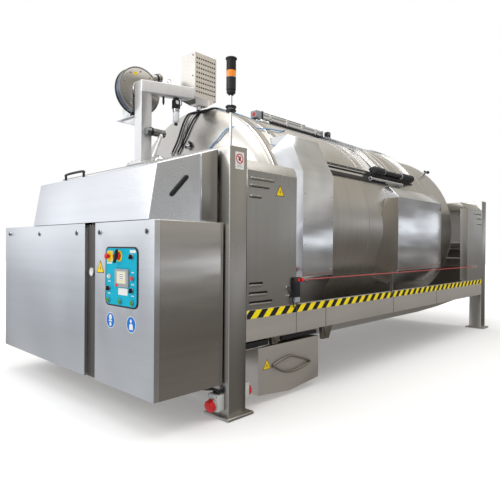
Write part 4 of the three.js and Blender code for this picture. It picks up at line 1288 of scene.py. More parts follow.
@build
def blower():
    """The housing with its pipe and grille, the motor behind it and the wheel inside."""
    near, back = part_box("blower_motor")
    x, z = middle("blower_motor").x, middle("blower_motor").z
    near, back = near.y, back.y
    hub = Vector((x, 0, z))
    radius, wall, depth, rim = 0.186, 0.004, 0.085, 0.172
    piece = Piece("blower_housing_shell", "bright_stainless").of(STEEL_BLOWER)
    piece.of(STEEL_RIM).collar((x, 0.0125, z), ACROSS, radius - 0.001, radius + 0.0015, depth - 0.025, 96)
    outer = [(0, 0.06), (0, rim), (0.005, 0.182), (0.008, radius), (depth - 0.008, radius),
        (depth - 0.004, 0.182), (depth, 0.174), (depth, 0.018)]
    inner = [(depth - wall, 0.018), (depth - wall, rim), (depth - 0.01, radius - wall),
        (0.01, radius - wall), (wall, rim), (wall, 0.06)]
    piece.of(STEEL_BLOWER).lathe(hub, ACROSS, outer + inner, 96, True)
    for y in (0.004, depth - 0.01):
        piece.collar((x, y, z), ACROSS, radius - 0.002, radius + 0.008, 0.006, 96)
    piece.lathe(hub, -ACROSS, [(0, 0.06), (0, 0.078), (0.004, 0.074), (0.012, 0.07), (0.012, 0.06)], 48,
        True)
    pipe = Vector((0.182, 0, 0.062)).normalized()
    start = p(0.215, 0.042, 2.532)
    piece.lathe(start, pipe, [(0, 0.028), (0, 0.032), (0.118, 0.032), (0.118, 0.037), (0.132, 0.037),
        (0.132, 0.028)], 32, True)
    piece.of(BLACK).collar(start + pipe * 0.085, pipe, 0.0315, 0.036, 0.014)
    piece.of(STEEL_BRIGHT).box(p(0.06, -0.0195, 2.24), p(0.13, 0.0005, 2.33), 0.002)
    piece.of(MACHINED)
    for place in circle(hub, 0.158, 10, 18):
        piece.bolt(place, -ACROSS, 0.0055)
    for reach in (0.02, 0.036, 0.052):
        ring = circle((x, -0.01, z), reach, 32)
        piece.tube([*ring, ring[0]], 0.0018, 6)
    for a in (30, 90, 150):
        reach = Vector((cos(radians(a)), 0, sin(radians(a)))) * 0.066
        piece.rod(Vector((x, -0.012, z)) - reach, Vector((x, -0.012, z)) + reach, 0.0018, 6)
    arrow = stadium((-0.01, -0.006), (0.012, 0.008), 0.011)
    Face(hub, ALONG, UP).layer(piece.of(YELLOW), [(u * 0.9 - 0.05, v + 0.128) for u, v in arrow], LIFT,
        0.0008)
    piece.done("blower_housing")

    motor = Piece("blower_motor_body", "cast_metal").of(MOTOR_PAINT)
    long = back - near
    motor.lathe((x, near, z), ACROSS, [(0, 0.078), (0.01, 0.08), (0.018, 0.066), (long - 0.045, 0.066),
        (long - 0.043, 0.079), (long - 0.004, 0.076), (long, 0.068)], 40)
    motor.fins(Vector((x, near + 0.016, z)), 24, 0.064, 0.078, 0.0013, long - 0.06)
    # Dark discs on the motor's end: painted shade in its vent holes.
    motor.of(SHADE_AND_SEAM_BLACK)
    for place in circle((x, back - 0.001, z), 0.045, 8):
        motor.rod(place, place + ACROSS * 0.0016, 0.01, 14)
    motor.of(BLACK).box((x - 0.03, near + 0.045, z + 0.07), (x + 0.03, near + 0.11, z + 0.105), 0.004)
    motor.done("blower_motor")

    wheel = Piece("blower_wheel", "cast_metal", "blower_impeller").of(CAST)
    wheel.lathe((x, 0.068, z), ACROSS, [(0, 0.15), (0.004, 0.15)], 64)
    wheel.lathe((x, 0.02, z), ACROSS, [(0, 0.01), (0.004, 0.015), (0.063, 0.015)], 32)
    wheel.collar((x, 0.024, z), ACROSS, 0.085, 0.15, 0.003, 64)
    blades, sections = 12, 4
    for i in range(blades):
        rings = []
        for step in range(sections + 1):
            r = 0.04 + 0.108 * step / sections
            b = 2 * pi * i / blades - 0.5 * (step / sections) ** 1.4
            spine = Vector((x + r * cos(b), 0, z + r * sin(b)))
            thick = Vector((-sin(b), 0, cos(b))) * 0.0015
            rings.append(wheel.points(spine + ACROSS * y + thick * s for y,
                s in ((0.026, -1), (0.069, -1), (0.069, 1), (0.026, 1))))
        wheel.rings(rings)
    wheel.done("blower_impeller")


@build
def vent_valve():
    low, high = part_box("vent_valve")
    y, z = -0.158, (low.z + high.z) / 2
    x0, x1 = low.x, high.x
    piece = Piece("vent_valve_body", "bright_stainless").of(STEEL_BRIGHT)
    length = x1 - x0
    wide = min(high.y - y, y - low.y, z - low.z, high.z - z) - 0.0005
    profile = [(0, 0.024), (0.004, 0.028), (0.018, 0.028), (0.02, 0.8 * wide), (0.034, 0.8 * wide),
        (0.036, 0.03), (0.05, 0.03), (0.052, wide), (0.124, wide), (0.13, 0.9 * wide),
        (length - 0.034, 0.9 * wide), (length - 0.03, wide), (length - 0.004, wide), (length, 0.9 * wide)]
    piece.of(GREY_STEEL).lathe((x0, y, z), ALONG, profile, 40)
    # A black ring in the body's neck: painted shade in the groove.
    piece.of(SHADE_AND_SEAM_BLACK).collar((x0 + 0.037, y, z), ALONG, 0.0295, 0.0345, 0.014, 40)
    piece.of(MACHINED).box((x0 + 0.004, y, z - 0.026), (x0 + 0.06, -0.1205, z + 0.026), 0.003)
    for dz in (-0.018, 0.018):
        piece.bolt((x1 - 0.016, y - 0.03, z + dz), -ACROSS, 0.004)
    piece.done("vent_valve")

    pivot = p(0.175, -0.203, 1.998)
    lever = Piece("valve_lever_arm", "stainless", "valve_lever").of(STEEL_MAST)
    tip = p(0.1, -0.203, 1.812)
    reach = tip - pivot
    lever.lathe(pivot - reach.normalized() * 0.018, reach, [(0, 0.01), (0.008, 0.015), (0.03, 0.015),
        (0.045, 0.0125), (reach.length - 0.06, 0.0145), (reach.length - 0.04, 0.0165),
        (reach.length + 0.01, 0.0165), (reach.length + 0.018, 0.009)], 28)
    lever.lathe(pivot - ACROSS * 0.012, ACROSS, [(0, 0.01), (0.003, 0.016), (0.02, 0.016), (0.022, 0.01),
        (0.045, 0.01)], 28)
    lever.done("valve_lever")


@build
def filter_regulator():
    low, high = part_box("filter_regulator")
    centre = (low + high) / 2
    at = Vector((centre.x, centre.y, 0))
    piece = Piece("filter_regulator_unit", "black_plastic").of(BLACK)
    piece.box((low.x + 0.006, low.y + 0.006, 2.262), (high.x - 0.006, high.y - 0.006, high.z - 0.016), 0.005)
    piece.lathe(at + UP * (high.z - 0.018), UP, [(0, 0.024), (0.014, 0.024), (0.017, 0.02)], 28)
    piece.of(MACHINED).lathe(at + UP * 2.236, UP, [(0, 0.026), (0.004, 0.029), (0.024, 0.029),
        (0.028, 0.025)], 32)
    piece.of(CLEAR).lathe(at + UP * 2.146, UP, [(0, 0.012), (0.006, 0.02), (0.018, 0.0245), (0.092, 0.0245)],
        32)
    piece.of(MACHINED)
    for foot in circle(at + UP * 2.15, 0.0255, 4, 45, v=ACROSS):
        piece.rod(foot, foot + UP * 0.09, 0.0018, 8)
    piece.of(BLACK).lathe(at + UP * 2.124, UP, [(0, 0.01), (0.003, 0.015), (0.016, 0.015), (0.023, 0.01)],
        20)
    piece.of(WHITE)
    dial = Vector((centre.x - 0.012, low.y + 0.006, 2.31))
    piece.lathe(dial, -ACROSS, [(0, 0.017), (0.008, 0.017)], 28)
    piece.of(BLACK).collar(dial, -ACROSS, 0.017, 0.0195, 0.0095, 28)
    piece.of(BLUE_HOSE)
    hose = [(-0.008, 0, 2.3), (0.016, 0, 2.302), (0.04, 0.02, 2.33), (0.052, 0.04, 2.38)]
    piece.tube(smooth_path([(high.x + x, centre.y + y, z) for x, y, z in hose], 6), 0.005, 10)
    piece.done("filter_regulator")


# ---- drum ----------------------------------------------------------------------------------
def on_drum(x, angle, radius):
    a = radians(angle)
    return p(x, -radius * cos(a), AXIS + radius * sin(a))


def outward(angle):
    a = radians(angle)
    return Vector((0, -cos(a), sin(a)))


DOOR_SPAN = (36, 144)  # degrees that the sliding door covers, up from the operator's side


@build
def drum_bands():
    piece = Piece("drum_seams", "stainless", "drum").of(WELD)

    def bead(x, height):
        piece.lathe(p(x - 0.004, 0, AXIS), ALONG, [(0, DRUM_R - 0.001), (0.002, DRUM_R + height),
            (0.006, DRUM_R + height), (0.008, DRUM_R - 0.001)], 144, True)

    for x in (DRUM_START, 2.08, 3.62, DRUM_END):
        bead(x, 0.002)
    piece.of(STEEL_HOOP)
    for start, end in ((0.752, 0.818), (0.944, 1.006)):
        wide = end - start
        piece.lathe(p(start, 0, AXIS), ALONG, [(0, DRUM_R - 0.001), (0, DRUM_R + 0.008),
            (0.002, DRUM_R + 0.01), (wide - 0.002, DRUM_R + 0.01), (wide, DRUM_R + 0.008),
            (wide, DRUM_R - 0.001)], 144, True)
    piece.of(STEEL_BRIGHT)
    for x in (0.736, 0.826, 0.936, 1.014):
        bead(x, 0.006)
    for x in (2.15, 2.3, 2.47):
        piece.arc((DRUM_R - 0.001, DRUM_R + 0.003), DOOR_SPAN, (x, x + 0.01), 60)
    piece.done()
    rim = Piece("doorway_rim", "stainless", "drum").of(STEEL_BRIGHT)
    for x0, x1 in ((2.536, 2.561), (3.249, 3.274)):
        rim.arc((DRUM_R - 0.012, 1.036), (48.4, 131.6), (x0, x1), 60)
    for start in (48.4, 130.2):
        rim.arc((DRUM_R - 0.012, 1.036), (start, start + 1.4), (2.561, 3.249), 2)
    rim.done()


FOLDS = (36, 55, 79, 101, 125, 144)  # degrees where the door's folded flange bends
DOOR_R = 1.042  # the sliding door's inner radius
RAIL_R = 1.034  # the black rails' outer radius
CARRIAGE_R = 1.0805  # distance of the carriages' bellows from the drum's axis


@build
def drum_door():
    piece = Piece("drum_door_skin", "stainless", "drum_door").of(STEEL_DRUM)
    piece.arc((DOOR_R, DOOR_R + 0.01), DOOR_SPAN, (2.492, 3.326), 72)
    for x in (2.84, 3.06):
        rings = []
        for i in range(73):
            angle = 37 + 106 * i / 72
            section = [(1.051, -0.022), (1.0555, -0.012), (1.057, 0), (1.0555, 0.012), (1.051, 0.022)]
            rings.append(piece.points(on_drum(x + dx, angle, r) for r, dx in section))
        piece.rings(rings)
    piece.bent((DOOR_R, 1.079), FOLDS, (2.5, 2.64))
    piece.of(STEEL_BRIGHT).bent((1.041, 1.086), FOLDS, (2.484, 2.496))
    piece.bent((1.05, 1.084), FOLDS, (2.644, 2.656))
    piece.arc((1.041, 1.074), DOOR_SPAN, (3.306, 3.33), 60)
    for angle in (36.4, 143.6):
        piece.arc((1.04, 1.06), (angle - 0.5, angle + 0.5), (2.5, 3.306), 2)
    piece.of(BLACK).box(p(2.64, -0.135, 2.392), p(2.7, -0.082, 2.499), 0.004)
    piece.of(MACHINED)
    for x in (2.655, 2.685):
        piece.bolt(p(x, -0.135, 2.47), -ACROSS, 0.007)
        piece.bolt(p(x, -0.135, 2.43), -ACROSS, 0.007)
    piece.rod(p(2.64, -0.108, 2.48), p(2.61, -0.108, 2.48), 0.01, 16, 0.002)
    for x in (2.57, 2.75, 2.95, 3.15):
        for side in (37.4, 142.6):
            piece.bolt(on_drum(x, side, 1.06 if x > 2.66 else 1.079), outward(side), 0.007)
    piece.of(RUBBER)
    for x0, x1 in ((2.538, 2.558), (3.252, 3.272)):
        piece.arc((1.0362, 1.0418), (49, 131), (x0, x1), 48)
    piece.done("drum_door")


@build
def door_rails():
    for side, flip in (("right", False), ("left", True)):
        def turned(low, high):
            return (180 - high, 180 - low) if flip else (low, high)

        piece = Piece(f"door_rail_{side}_bars", "black_plastic", "drum").of(STEEL_BRIGHT)
        piece.arc((DRUM_R + 0.0005, DRUM_R + 0.004), turned(26.2, 33.8), (1.545, 2.64), 6)
        piece.of(BLACK).arc((DRUM_R + 0.003, RAIL_R), turned(31.0, 33.8), (1.54, 3.33), 4)
        piece.arc((DRUM_R + 0.003, RAIL_R), turned(26.2, 28.4), (1.54, 2.64), 4)
        piece.of(STEEL_BRIGHT)
        tube = 180 - 27.6 if flip else 27.6
        piece.rod(on_drum(2.24, tube, 1.056), on_drum(2.95, tube, 1.056), 0.013, 20, 0.002)
        piece.arc((1.033, 1.036), turned(31.2, 31.8), (1.545, 3.325), 2)
        piece.of(GREY_PLASTIC)
        for x in (2.24, 2.585, 2.925):
            piece.arc((DRUM_R - 0.001, 1.062), turned(26.6, 28.6), (x, x + 0.024), 2)
        piece.of(MACHINED)
        screws = 180 - 32.4 if flip else 32.4
        for i in range(12):
            x = 1.6 + 0.15 * i
            piece.bolt(on_drum(x, screws, RAIL_R), outward(screws), 0.0045)
        piece.done(f"door_rail_{side}")

        roller = 180 - 33.0 if flip else 33.0
        cart = Piece(f"door_carriage_{side}_bellows", "black_plastic", "drum_door").of(BLACK)
        # A black strip on the drum under the door's edge, along the carriage: painted shadow.
        cart.arc((1.039, 1.06), turned(31.0, 35.4), (2.352, 3.248), 4)
        cart.of(RUBBER)
        for start, end in ((2.352, 2.548), (2.962, 3.248)):
            profile, folds = [(0, 0.028)], round((end - start) / 0.026)
            for i in range(folds):
                at = (end - start) * (i + 0.5) / folds
                profile += [(at - 0.0095, 0.031), (at - 0.004, 0.0395), (at + 0.004, 0.0395),
                    (at + 0.0095, 0.031)]
            cart.lathe(on_drum(start, roller, CARRIAGE_R), ALONG, [*profile, (end - start, 0.028)], 28)
        cart.of(GREY_PLASTIC)
        for x in (2.548, 2.952):
            cart.lathe(on_drum(x, roller, CARRIAGE_R), ALONG, [(0, 0.034), (0.002, 0.036), (0.008, 0.036),
                (0.01, 0.034)], 28)
        cart.of(BLACK).rod(on_drum(2.556, roller, CARRIAGE_R), on_drum(2.954, roller, CARRIAGE_R), 0.024, 24)
        cart.done(f"door_carriage_{side}")


@build
def door_cylinder():
    piece = Piece("door_cylinder_body", "bright_stainless", "drum").of(STEEL_BRIGHT)
    half = [(0.031, 0), (0.035, 0.004), (0.035, 0.026), (0.031, 0.03), (0.031, 0.04), (0.035, 0.044),
        (0.035, 0.062), (0.03, 0.067)]
    outline = half + [(-y, z) for y, z in reversed(half)]
    piece.prism([p(1.562, y, 2.455 + z) for y, z in outline], ALONG * 1.112, 0.0006)
    piece.of(GREY_PLASTIC).box(p(1.482, -0.044, 2.446), p(1.562, 0.044, 2.53), 0.006)
    piece.box(p(2.66, -0.041, 2.45), p(2.68, 0.041, 2.526), 0.004)
    piece.of(BLACK).box(p(1.562, -0.046, 2.444), p(1.586, 0.046, 2.5335), 0.003)
    piece.box(p(1.48, -0.05, 2.44), p(1.492, 0.02, 2.456), 0.002)
    piece.rod(p(1.586, -0.02, 2.5285), p(2.3, -0.02, 2.5285), 0.0055, 12)
    piece.rod(p(2.296, -0.02, 2.5255), p(2.336, -0.02, 2.5255), 0.0095, 16, 0.003)
    piece.of(RED).lathe(p(1.482, -0.006, 2.488), -ALONG, [(0, 0.02), (0.001, 0.0195), (0.0015, 0.018),
        (0.0018, 0)], 28)
    piece.of(STEEL_BRIGHT)
    for x in (1.7, 1.98, 2.25, 2.52):
        piece.box(p(x, -0.038, 2.452), p(x + 0.03, 0.038, 2.526), 0.001)
    piece.box(p(1.495, -0.03, DRUM_Z - 0.004), p(1.545, 0.03, 2.447), 0.003)
    piece.lathe(p(1.486, -0.092, 2.398), ALONG, [(0, 0.022), (0.004, 0.027), (0.018, 0.027), (0.02, 0.024),
        (0.1, 0.024), (0.102, 0.027), (0.114, 0.027), (0.118, 0.022)], 32)
    piece.box(p(1.5, -0.104, DRUM_Z - 0.01), p(1.59, -0.08, 2.38), 0.002)
    piece.of(MACHINED)
    for y in (-0.03, 0.03):
        for z in (2.462, 2.514):
            piece.bolt(p(1.482, y, z), -ALONG, 0.005)
    piece.done("door_cylinder")


@build
def energy_chain():
    """Links of a cable chain with pale crossbars, on a shallow tray."""
    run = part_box("energy_chain")
    start, end = run[0].x - NEAR_X + 0.04, run[1].x - NEAR_X
    y0, y1, z0, z1 = run[0].y, run[1].y, 2.414, run[1].z
    piece = Piece("energy_chain_links", "black_plastic", "drum").of(BLACK)
    pitch = 0.044
    count = int((end - start) / pitch)
    for i in range(count):
        x = start + pitch * i
        for y in (y0 + 0.0005, y1 - 0.0045):
            outline = [(x, z0), (x + 0.03, z0), (x + 0.04, z0 + 0.008), (x + 0.04, z1 - 0.008),
                (x + 0.03, z1), (x, z1), (x + 0.006, z1 - 0.008), (x + 0.006, z0 + 0.008)]
            piece.prism([p(a, y, b) for a, b in outline], ACROSS * 0.004, 0.0006)
    piece.of(PALE)
    for i in range(count):
        x = start + pitch * i + 0.01
        piece.box(p(x, y0 + 0.001, z1 - 0.004), p(x + 0.013, y1 - 0.001, z1 - 0.0005), 0.0008)
        piece.box(p(x, y0 + 0.001, z0 + 0.0005), p(x + 0.013, y1 - 0.001, z0 + 0.004), 0.0008)
    piece.of(RUBBER)
    for k, y in enumerate((-0.064, -0.057, -0.051)):
        piece.tube([p(start - 0.02, y, 2.428), p((start + end) / 2, y, 2.426 + 0.001 * k),
            p(end - 0.004, y, 2.428)], 0.0028, 8)
    piece.of(STEEL_BRIGHT).box(p(1.562, y0, DRUM_Z - 0.006), p(1.608, y1, 2.413), 0.001)
    piece.box(p(1.562, y0, 2.407), p(2.46, y1, 2.413), 0.0008)
    piece.done("energy_chain")


@build
def drum_hoses():
    """Air lines clipped to the drive-end dome."""
    black_1 = [(0.517, 0.104, 1.952), (0.533, 0.055, 2.045), (0.55, 0.038, 2.114), (0.574, 0.03, 2.196),
        (0.603, 0.021, 2.269), (0.634, 0.004, 2.317), (0.64, -0.14, 2.313), (0.652, -0.21, 2.312),
        (0.72, -0.238, 2.34), (0.86, -0.225, 2.354), (1.05, -0.19, 2.363), (1.3, -0.14, 2.371),
        (1.44, -0.106, 2.384), (1.488, -0.092, 2.398)]
    black_2 = [(0.513, 0.02, 1.94), (0.527, -0.025, 2.013), (0.548, -0.066, 2.107), (0.571, -0.09, 2.184),
        (0.6, -0.115, 2.253), (0.64, -0.135, 2.3), (0.73, -0.12, 2.349), (0.9, -0.09, 2.371),
        (1.2, -0.06, 2.377), (1.44, -0.02, 2.4), (1.496, -0.01, 2.43)]
    blue_1 = [(0.528, -0.33, 1.9), (0.535, -0.38, 1.925), (0.545, -0.413, 1.96), (0.561, -0.473, 2.008),
        (0.584, -0.513, 2.06), (0.606, -0.548, 2.088), (0.7, -0.64, 2.115), (0.836, -0.682, 2.106),
        (0.983, -0.649, 2.137), (1.172, -0.62, 2.16), (1.3, -0.56, 2.195)]
    blue_2 = [(0.76, -0.262, 2.338), (0.9, -0.24, 2.35), (1.2, -0.18, 2.368), (1.43, -0.118, 2.382)]
    piece = Piece("drum_hoses", "black_plastic", "drum").of(RUBBER)
    for route in (black_1, black_2):
        piece.tube(smooth_path([p(*q) for q in route], 6), 0.0085, 12)
    piece.of(BLUE_HOSE)
    for route in (blue_1, blue_2):
        piece.tube(smooth_path([p(*q) for q in route], 6), 0.0055, 10)
    piece.of(MACHINED)
    lines = (black_1, black_2, blue_1, blue_2)
    for place in [q[0] for q in lines] + [q[-1] for q in lines]:
        spot = p(*place)
        away = (spot - p(0.75, 0, AXIS)).normalized()
        piece.rod(spot - away * 0.03, spot + away * 0.01, 0.0115, 12, 0.002)
    for x in (0.9, 1.18, 1.4):
        piece.arc((DRUM_R - 0.001, DRUM_R + 0.008), (76.5, 88.5), (x, x + 0.018), 8)
    piece.of(STEEL_BRIGHT)
    strap = [(0.52, -0.005, 1.975), (0.545, -0.02, 2.08), (0.58, -0.032, 2.2), (0.63, -0.05, 2.292)]
    piece.tube(smooth_path([p(*q) for q in strap], 5), 0.007, 8)
    piece.rod(p(0.5, -0.118, 1.978), p(0.545, -0.118, 1.99), 0.021, 24, 0.003)
    piece.rod(p(0.522, -0.15, 1.99), p(0.522, -0.09, 1.99), 0.012, 20, 0.002)
    piece.of(BLACK).rod(p(0.496, -0.118, 1.977), p(0.504, -0.118, 1.979), 0.013, 20, 0.002)
    piece.rod(p(0.53, -0.14, 2.01), p(0.534, -0.118, 2.03), 0.011, 16, 0.003)
    piece.rod(p(0.526, -0.16, 1.99), p(0.526, -0.15, 1.99), 0.015, 16, 0.003)
    piece.done()
    tip = Piece("drum_fittings", "stainless", "drum").of(MACHINED)
    far, out = on_drum(4.08, 48, 1.012), outward(48)
    top = far + out * 0.056
    tip.rod(far, far + out * 0.06, 0.016, 16, 0.002)
    tip.rod(top - ALONG * 0.04, top + ALONG * 0.05, 0.01, 14, 0.002)
    tip.of(BLACK).rod(top + ALONG * 0.05, top + out * 0.006 + ALONG * 0.085, 0.02, 18, 0.005)
    tip.rod(top - ALONG * 0.03, top + out * 0.014 - ALONG * 0.03, 0.014, 14, 0.003)
    tip.of(WHITE)
    knob_angle = degrees(atan2(1.106 - AXIS, 0.994))
    knob = on_drum(2.5, knob_angle, DRUM_R - 0.002)
    tip.lathe(knob, outward(knob_angle), [(0, 0.012), (0.02, 0.012), (0.024, 0.024), (0.036, 0.027),
        (0.044, 0.02), (0.048, 0)], 28)
    tip.done()


@build
def far_end_plate():
    """The hipped plate between the far casing's drive-side edge and the drum."""
    for side, name in ((1, "right"), (-1, "left")):
        piece = Piece(f"far_casing_hip_{name}", "stainless", "drum").of(STEEL_HOOP)
        heights = [1.64, 1.45, 1.26, 1.07, 0.884, 0.726]
        front, back = [], []
        for i, z in enumerate(heights):
            y = -1.0935 if z >= 0.884 else -0.96
            angle = degrees(atan2(z - AXIS, 1.0))
            reach = 0.235 * sin(pi * min(1.0, (i + 0.35) / 3.4)) if i < 3 else 0.235 - 0.03 * (i - 3)
            foot = on_drum(2.546 - max(reach, 0.05), angle, DRUM_R - 0.002)
            front.append(p(2.546, y, z))
            back.append(foot)
        rings = []
        for a, b in zip(front, back):
            thin = Vector((0, 0.003, 0))
            middle_point = a.lerp(b, 0.5) + outward(0) * 0.006
            ring = [a, middle_point, b, b + thin, middle_point + thin, a + thin]
            rings.append(piece.points((q.x, q.y * side, q.z) for q in ring))
        piece.rings(rings)
        piece.done()


@build
def casing_screws():
    piece = Piece("casing_screws", "stainless", "drum").of(MACHINED)
    for sign in (1, -1):
        face = -ACROSS * sign
        for x in (0.925, 1.3, 2.575, 3.64):
            for z in (0.925, 1.13, 1.335, 1.54):
                y = -1.1 if x < 2 else -1.095
                piece.bolt(p(x, y * sign, z), face, 0.0035)
        piece.lathe(p(2.5455, -1.06 * sign, 1.19), -ALONG, [(0, 0.02), (0.004, 0.02), (0.006, 0.014),
            (0.018, 0.014), (0.022, 0.01)], 24)
    piece.done()


@build
def trunnions():
    flange = FLANGE[1] - AXIS
    for node, start, out, length in (("drive_trunnion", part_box("drive_trunnion")[1].x, -ALONG, 0.6535),
            ("outlet_trunnion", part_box("outlet_trunnion")[0].x, ALONG, 0.5795)):
        piece = Piece(f"{node}_turned", "cast_metal", "drum").of(MACHINED)
        piece.lathe((start, 0, AXIS), out, [(0, flange - 0.002), (0.002, flange), (0.04, flange),
            (0.0435, flange - 0.004), (0.0435, 0.15), (0.06, 0.118), (0.09, 0.1), (0.12, 0.09),
            (length - 0.006, 0.09), (length, 0.084), (length, 0.052), (length - 0.06, 0.05),
            (length - 0.06, 0)], 64)
        for reach, count, turn, along, size in ((0.215, 16, 0.0, 0.0435, 0.013),
                (0.068, 6, degrees(0.3), length, 0.006)):
            for place in circle((start, 0, AXIS), reach, count, turn, ACROSS):
                piece.bolt(place + out * along, out, size)
        piece.done(node)


@build
def bearings():
    for node in ("near_bearing", "far_bearing"):
        low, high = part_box(node)
        outline = [(-0.23, low.z), (0.23, low.z), (0.23, low.z + 0.036), (0.16, low.z + 0.042)]
        for i in range(17):
            a = radians(-20 + 220 * i / 16)
            outline.append((0.14 * cos(a), AXIS + 0.14 * sin(a)))
        outline.append((-0.16, low.z + 0.042))
        outline.append((-0.23, low.z + 0.036))
        piece = Piece(f"{node}_housing", "cast_metal").of(CAST)
        piece.prism([Vector((low.x, y, z)) for y, z in outline], ALONG * (high.x - low.x), 0.004)
        housing = link_mesh(f"{node}_housing", piece.bm, [CAST])
        bore = Piece("bore").of(CAST)
        bore.rod((low.x - 0.01, 0, AXIS), (high.x + 0.01, 0, AXIS), 0.0925, 64).cut(housing)
        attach(housing, "press_frame")
        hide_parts(node)
        rest = Piece(f"{node}_fittings", "cast_metal").of(MACHINED)
        for x in (low.x + 0.03, high.x - 0.03):
            for y in (-0.198, 0.198):
                rest.bolt((x, y, low.z + 0.0385), UP, 0.013)
        for x in (low.x - 0.0035, high.x + 0.0005):
            rest.collar((x, 0, AXIS), ALONG, 0.0925, 0.118, 0.003, 48)
            near = x < low.x
            for place in circle((x if near else x + 0.003, 0, AXIS), 0.108, 6, degrees(0.26), ACROSS):
                rest.bolt(place, -ALONG if near else ALONG, 0.004)
        rest.rod(((low.x + high.x) / 2, 0, AXIS + 0.138), ((low.x + high.x) / 2, 0, AXIS + 0.156), 0.006, 12,
            0.001)
        rest.done()


@build
def far_stand_panels():
    """Sheets that close the far stand between its posts, on both sides of the bearing."""
    low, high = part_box("far_stand")
    x = high.x - BASE_LEDGE - 0.012
    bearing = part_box("far_bearing")[1].y + 0.02
    inner = -SIDE - POST
    piece = Piece("far_stand_panels")
    for material, bottom, top, gap in ((STEEL_MAST, 1.191, 1.639, bearing), (STEEL_HOOP, 0.971, 1.099, 0.0),
            (STEEL_HOOP, SKIRT_LOW + 0.02, 0.849, 0.0)):
        piece.of(material)
        for sign in (1, -1):
            ys = sorted((sign * max(gap, 0.0005), sign * (inner - 0.0005)))
            piece.box((x, ys[0], bottom), (x + 0.003, ys[1], top), 0)
    piece.done()


# ---- drum drive inside the bay -------------------------------------------------------------
dress("drum_sprocket", CAST, rim=0.001)
dress("motor_sprocket", MACHINED, rim=0.0006)


@build
def drive_chain():
    """Roller chain around both sprockets: side plates, rollers and pins."""
    upper, lower = 0.2255, 0.0655
    low_z = middle("motor_sprocket").z
    lean = asin((upper - lower) / (AXIS - low_z))
    path = []
    for i in range(121):
        a = -lean + (pi + 2 * lean) * i / 120
        path.append(Vector((0, upper * cos(a), AXIS + upper * sin(a))))
    for i in range(61):
        a = pi + lean + (pi - 2 * lean) * i / 60
        path.append(Vector((0, lower * cos(a), low_z + lower * sin(a))))
    path.append(path[0].copy())
    lengths = [0.0]
    for a, b in zip(path, path[1:]):
        lengths.append(lengths[-1] + (b - a).length)
    count = 2 * round(lengths[-1] / 0.0616 / 2)
    middle_x = middle("drive_chain").x

    def along(distance):
        distance %= lengths[-1]
        for i in range(len(path) - 1):
            if lengths[i + 1] >= distance:
                share = (distance - lengths[i]) / max(lengths[i + 1] - lengths[i], 1e-9)
                return path[i].lerp(path[i + 1], share)
        return path[-1]

    piece = Piece("drive_chain_links", "cast_metal").of(CAST)
    joints = [along(lengths[-1] * i / count) for i in range(count)]
    for i, joint in enumerate(joints):
        other = joints[(i + 1) % count]
        ahead = (other - joint).normalized()
        across = Vector((0, -ahead.z, ahead.y))
        face = Face((middle_x, 0, 0), ahead, across)
        off = 0.013 if i % 2 else 0.0165
        start = (joint.dot(ahead), joint.dot(across))
        end = (other.dot(ahead), other.dot(across))
        for side in (-1, 1):
            low = off if side == 1 else -off - 0.003
            face.layer(piece, stadium(start, end, 0.015, 5), low, low + 0.003)
    piece.of(MACHINED)
    for joint in joints:
        centre = Vector((middle_x, joint.y, joint.z))
        piece.rod(centre - ALONG * 0.0215, centre + ALONG * 0.0215, 0.006, 10)
        piece.rod(centre - ALONG * 0.0115, centre + ALONG * 0.0115, 0.011, 14)
    piece.done("drive_chain")


@build
def gearmotor():
    low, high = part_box("gearmotor")
    x, z = (low.x + high.x) / 2, 0.62
    piece = Piece("gearmotor_unit", "cast_metal").of(MOTOR_PAINT)
    piece.box((low.x + 0.002, -0.094, 0.532), (high.x - 0.012, 0.094, 0.713), 0.012)
    piece.box((low.x + 0.01, -0.08, low.z), (high.x - 0.01, 0.08, 0.534), 0.006)
    piece.box((low.x + 0.004, -0.094, low.z), (high.x - 0.004, 0.094, low.z + 0.016), 0.003)
    piece.lathe((high.x - 0.014, 0, z), ALONG, [(0, 0.078), (0.006, 0.08), (0.012, 0.07), (0.013, 0.024)],
        40)
    piece.lathe((x, 0.092, z), ACROSS, [(0, 0.084), (0.014, 0.084), (0.018, 0.07), (0.232, 0.07),
        (0.236, 0.084), (0.306, 0.082), (0.318, 0.07)], 48)
    piece.fins(Vector((x, 0.108, z)), 30, 0.068, 0.083, 0.0014, 0.218)
    piece.box((x - 0.045, 0.15, z + 0.074), (x + 0.045, 0.25, z + 0.0945), 0.005)
    # Dark discs on the fan cover: painted shade in its holes.
    piece.of(SHADE_AND_SEAM_BLACK)
    for ring, count in ((0.025, 6), (0.05, 12)):
        for place in circle((x, 0.4095, z), ring, count):
            piece.rod(place, place + ACROSS * 0.001, 0.007, 10)
    piece.of(MACHINED)
    for place in circle((high.x - 0.012, 0, z), 0.06, 8, u=ACROSS):
        piece.bolt(place, ALONG, 0.005)
    for y in (-0.087, 0.087):
        for dx in (0.022, 0.158):
            piece.bolt((low.x + dx, y, low.z + 0.016), UP, 0.006)
    piece.done("gearmotor")


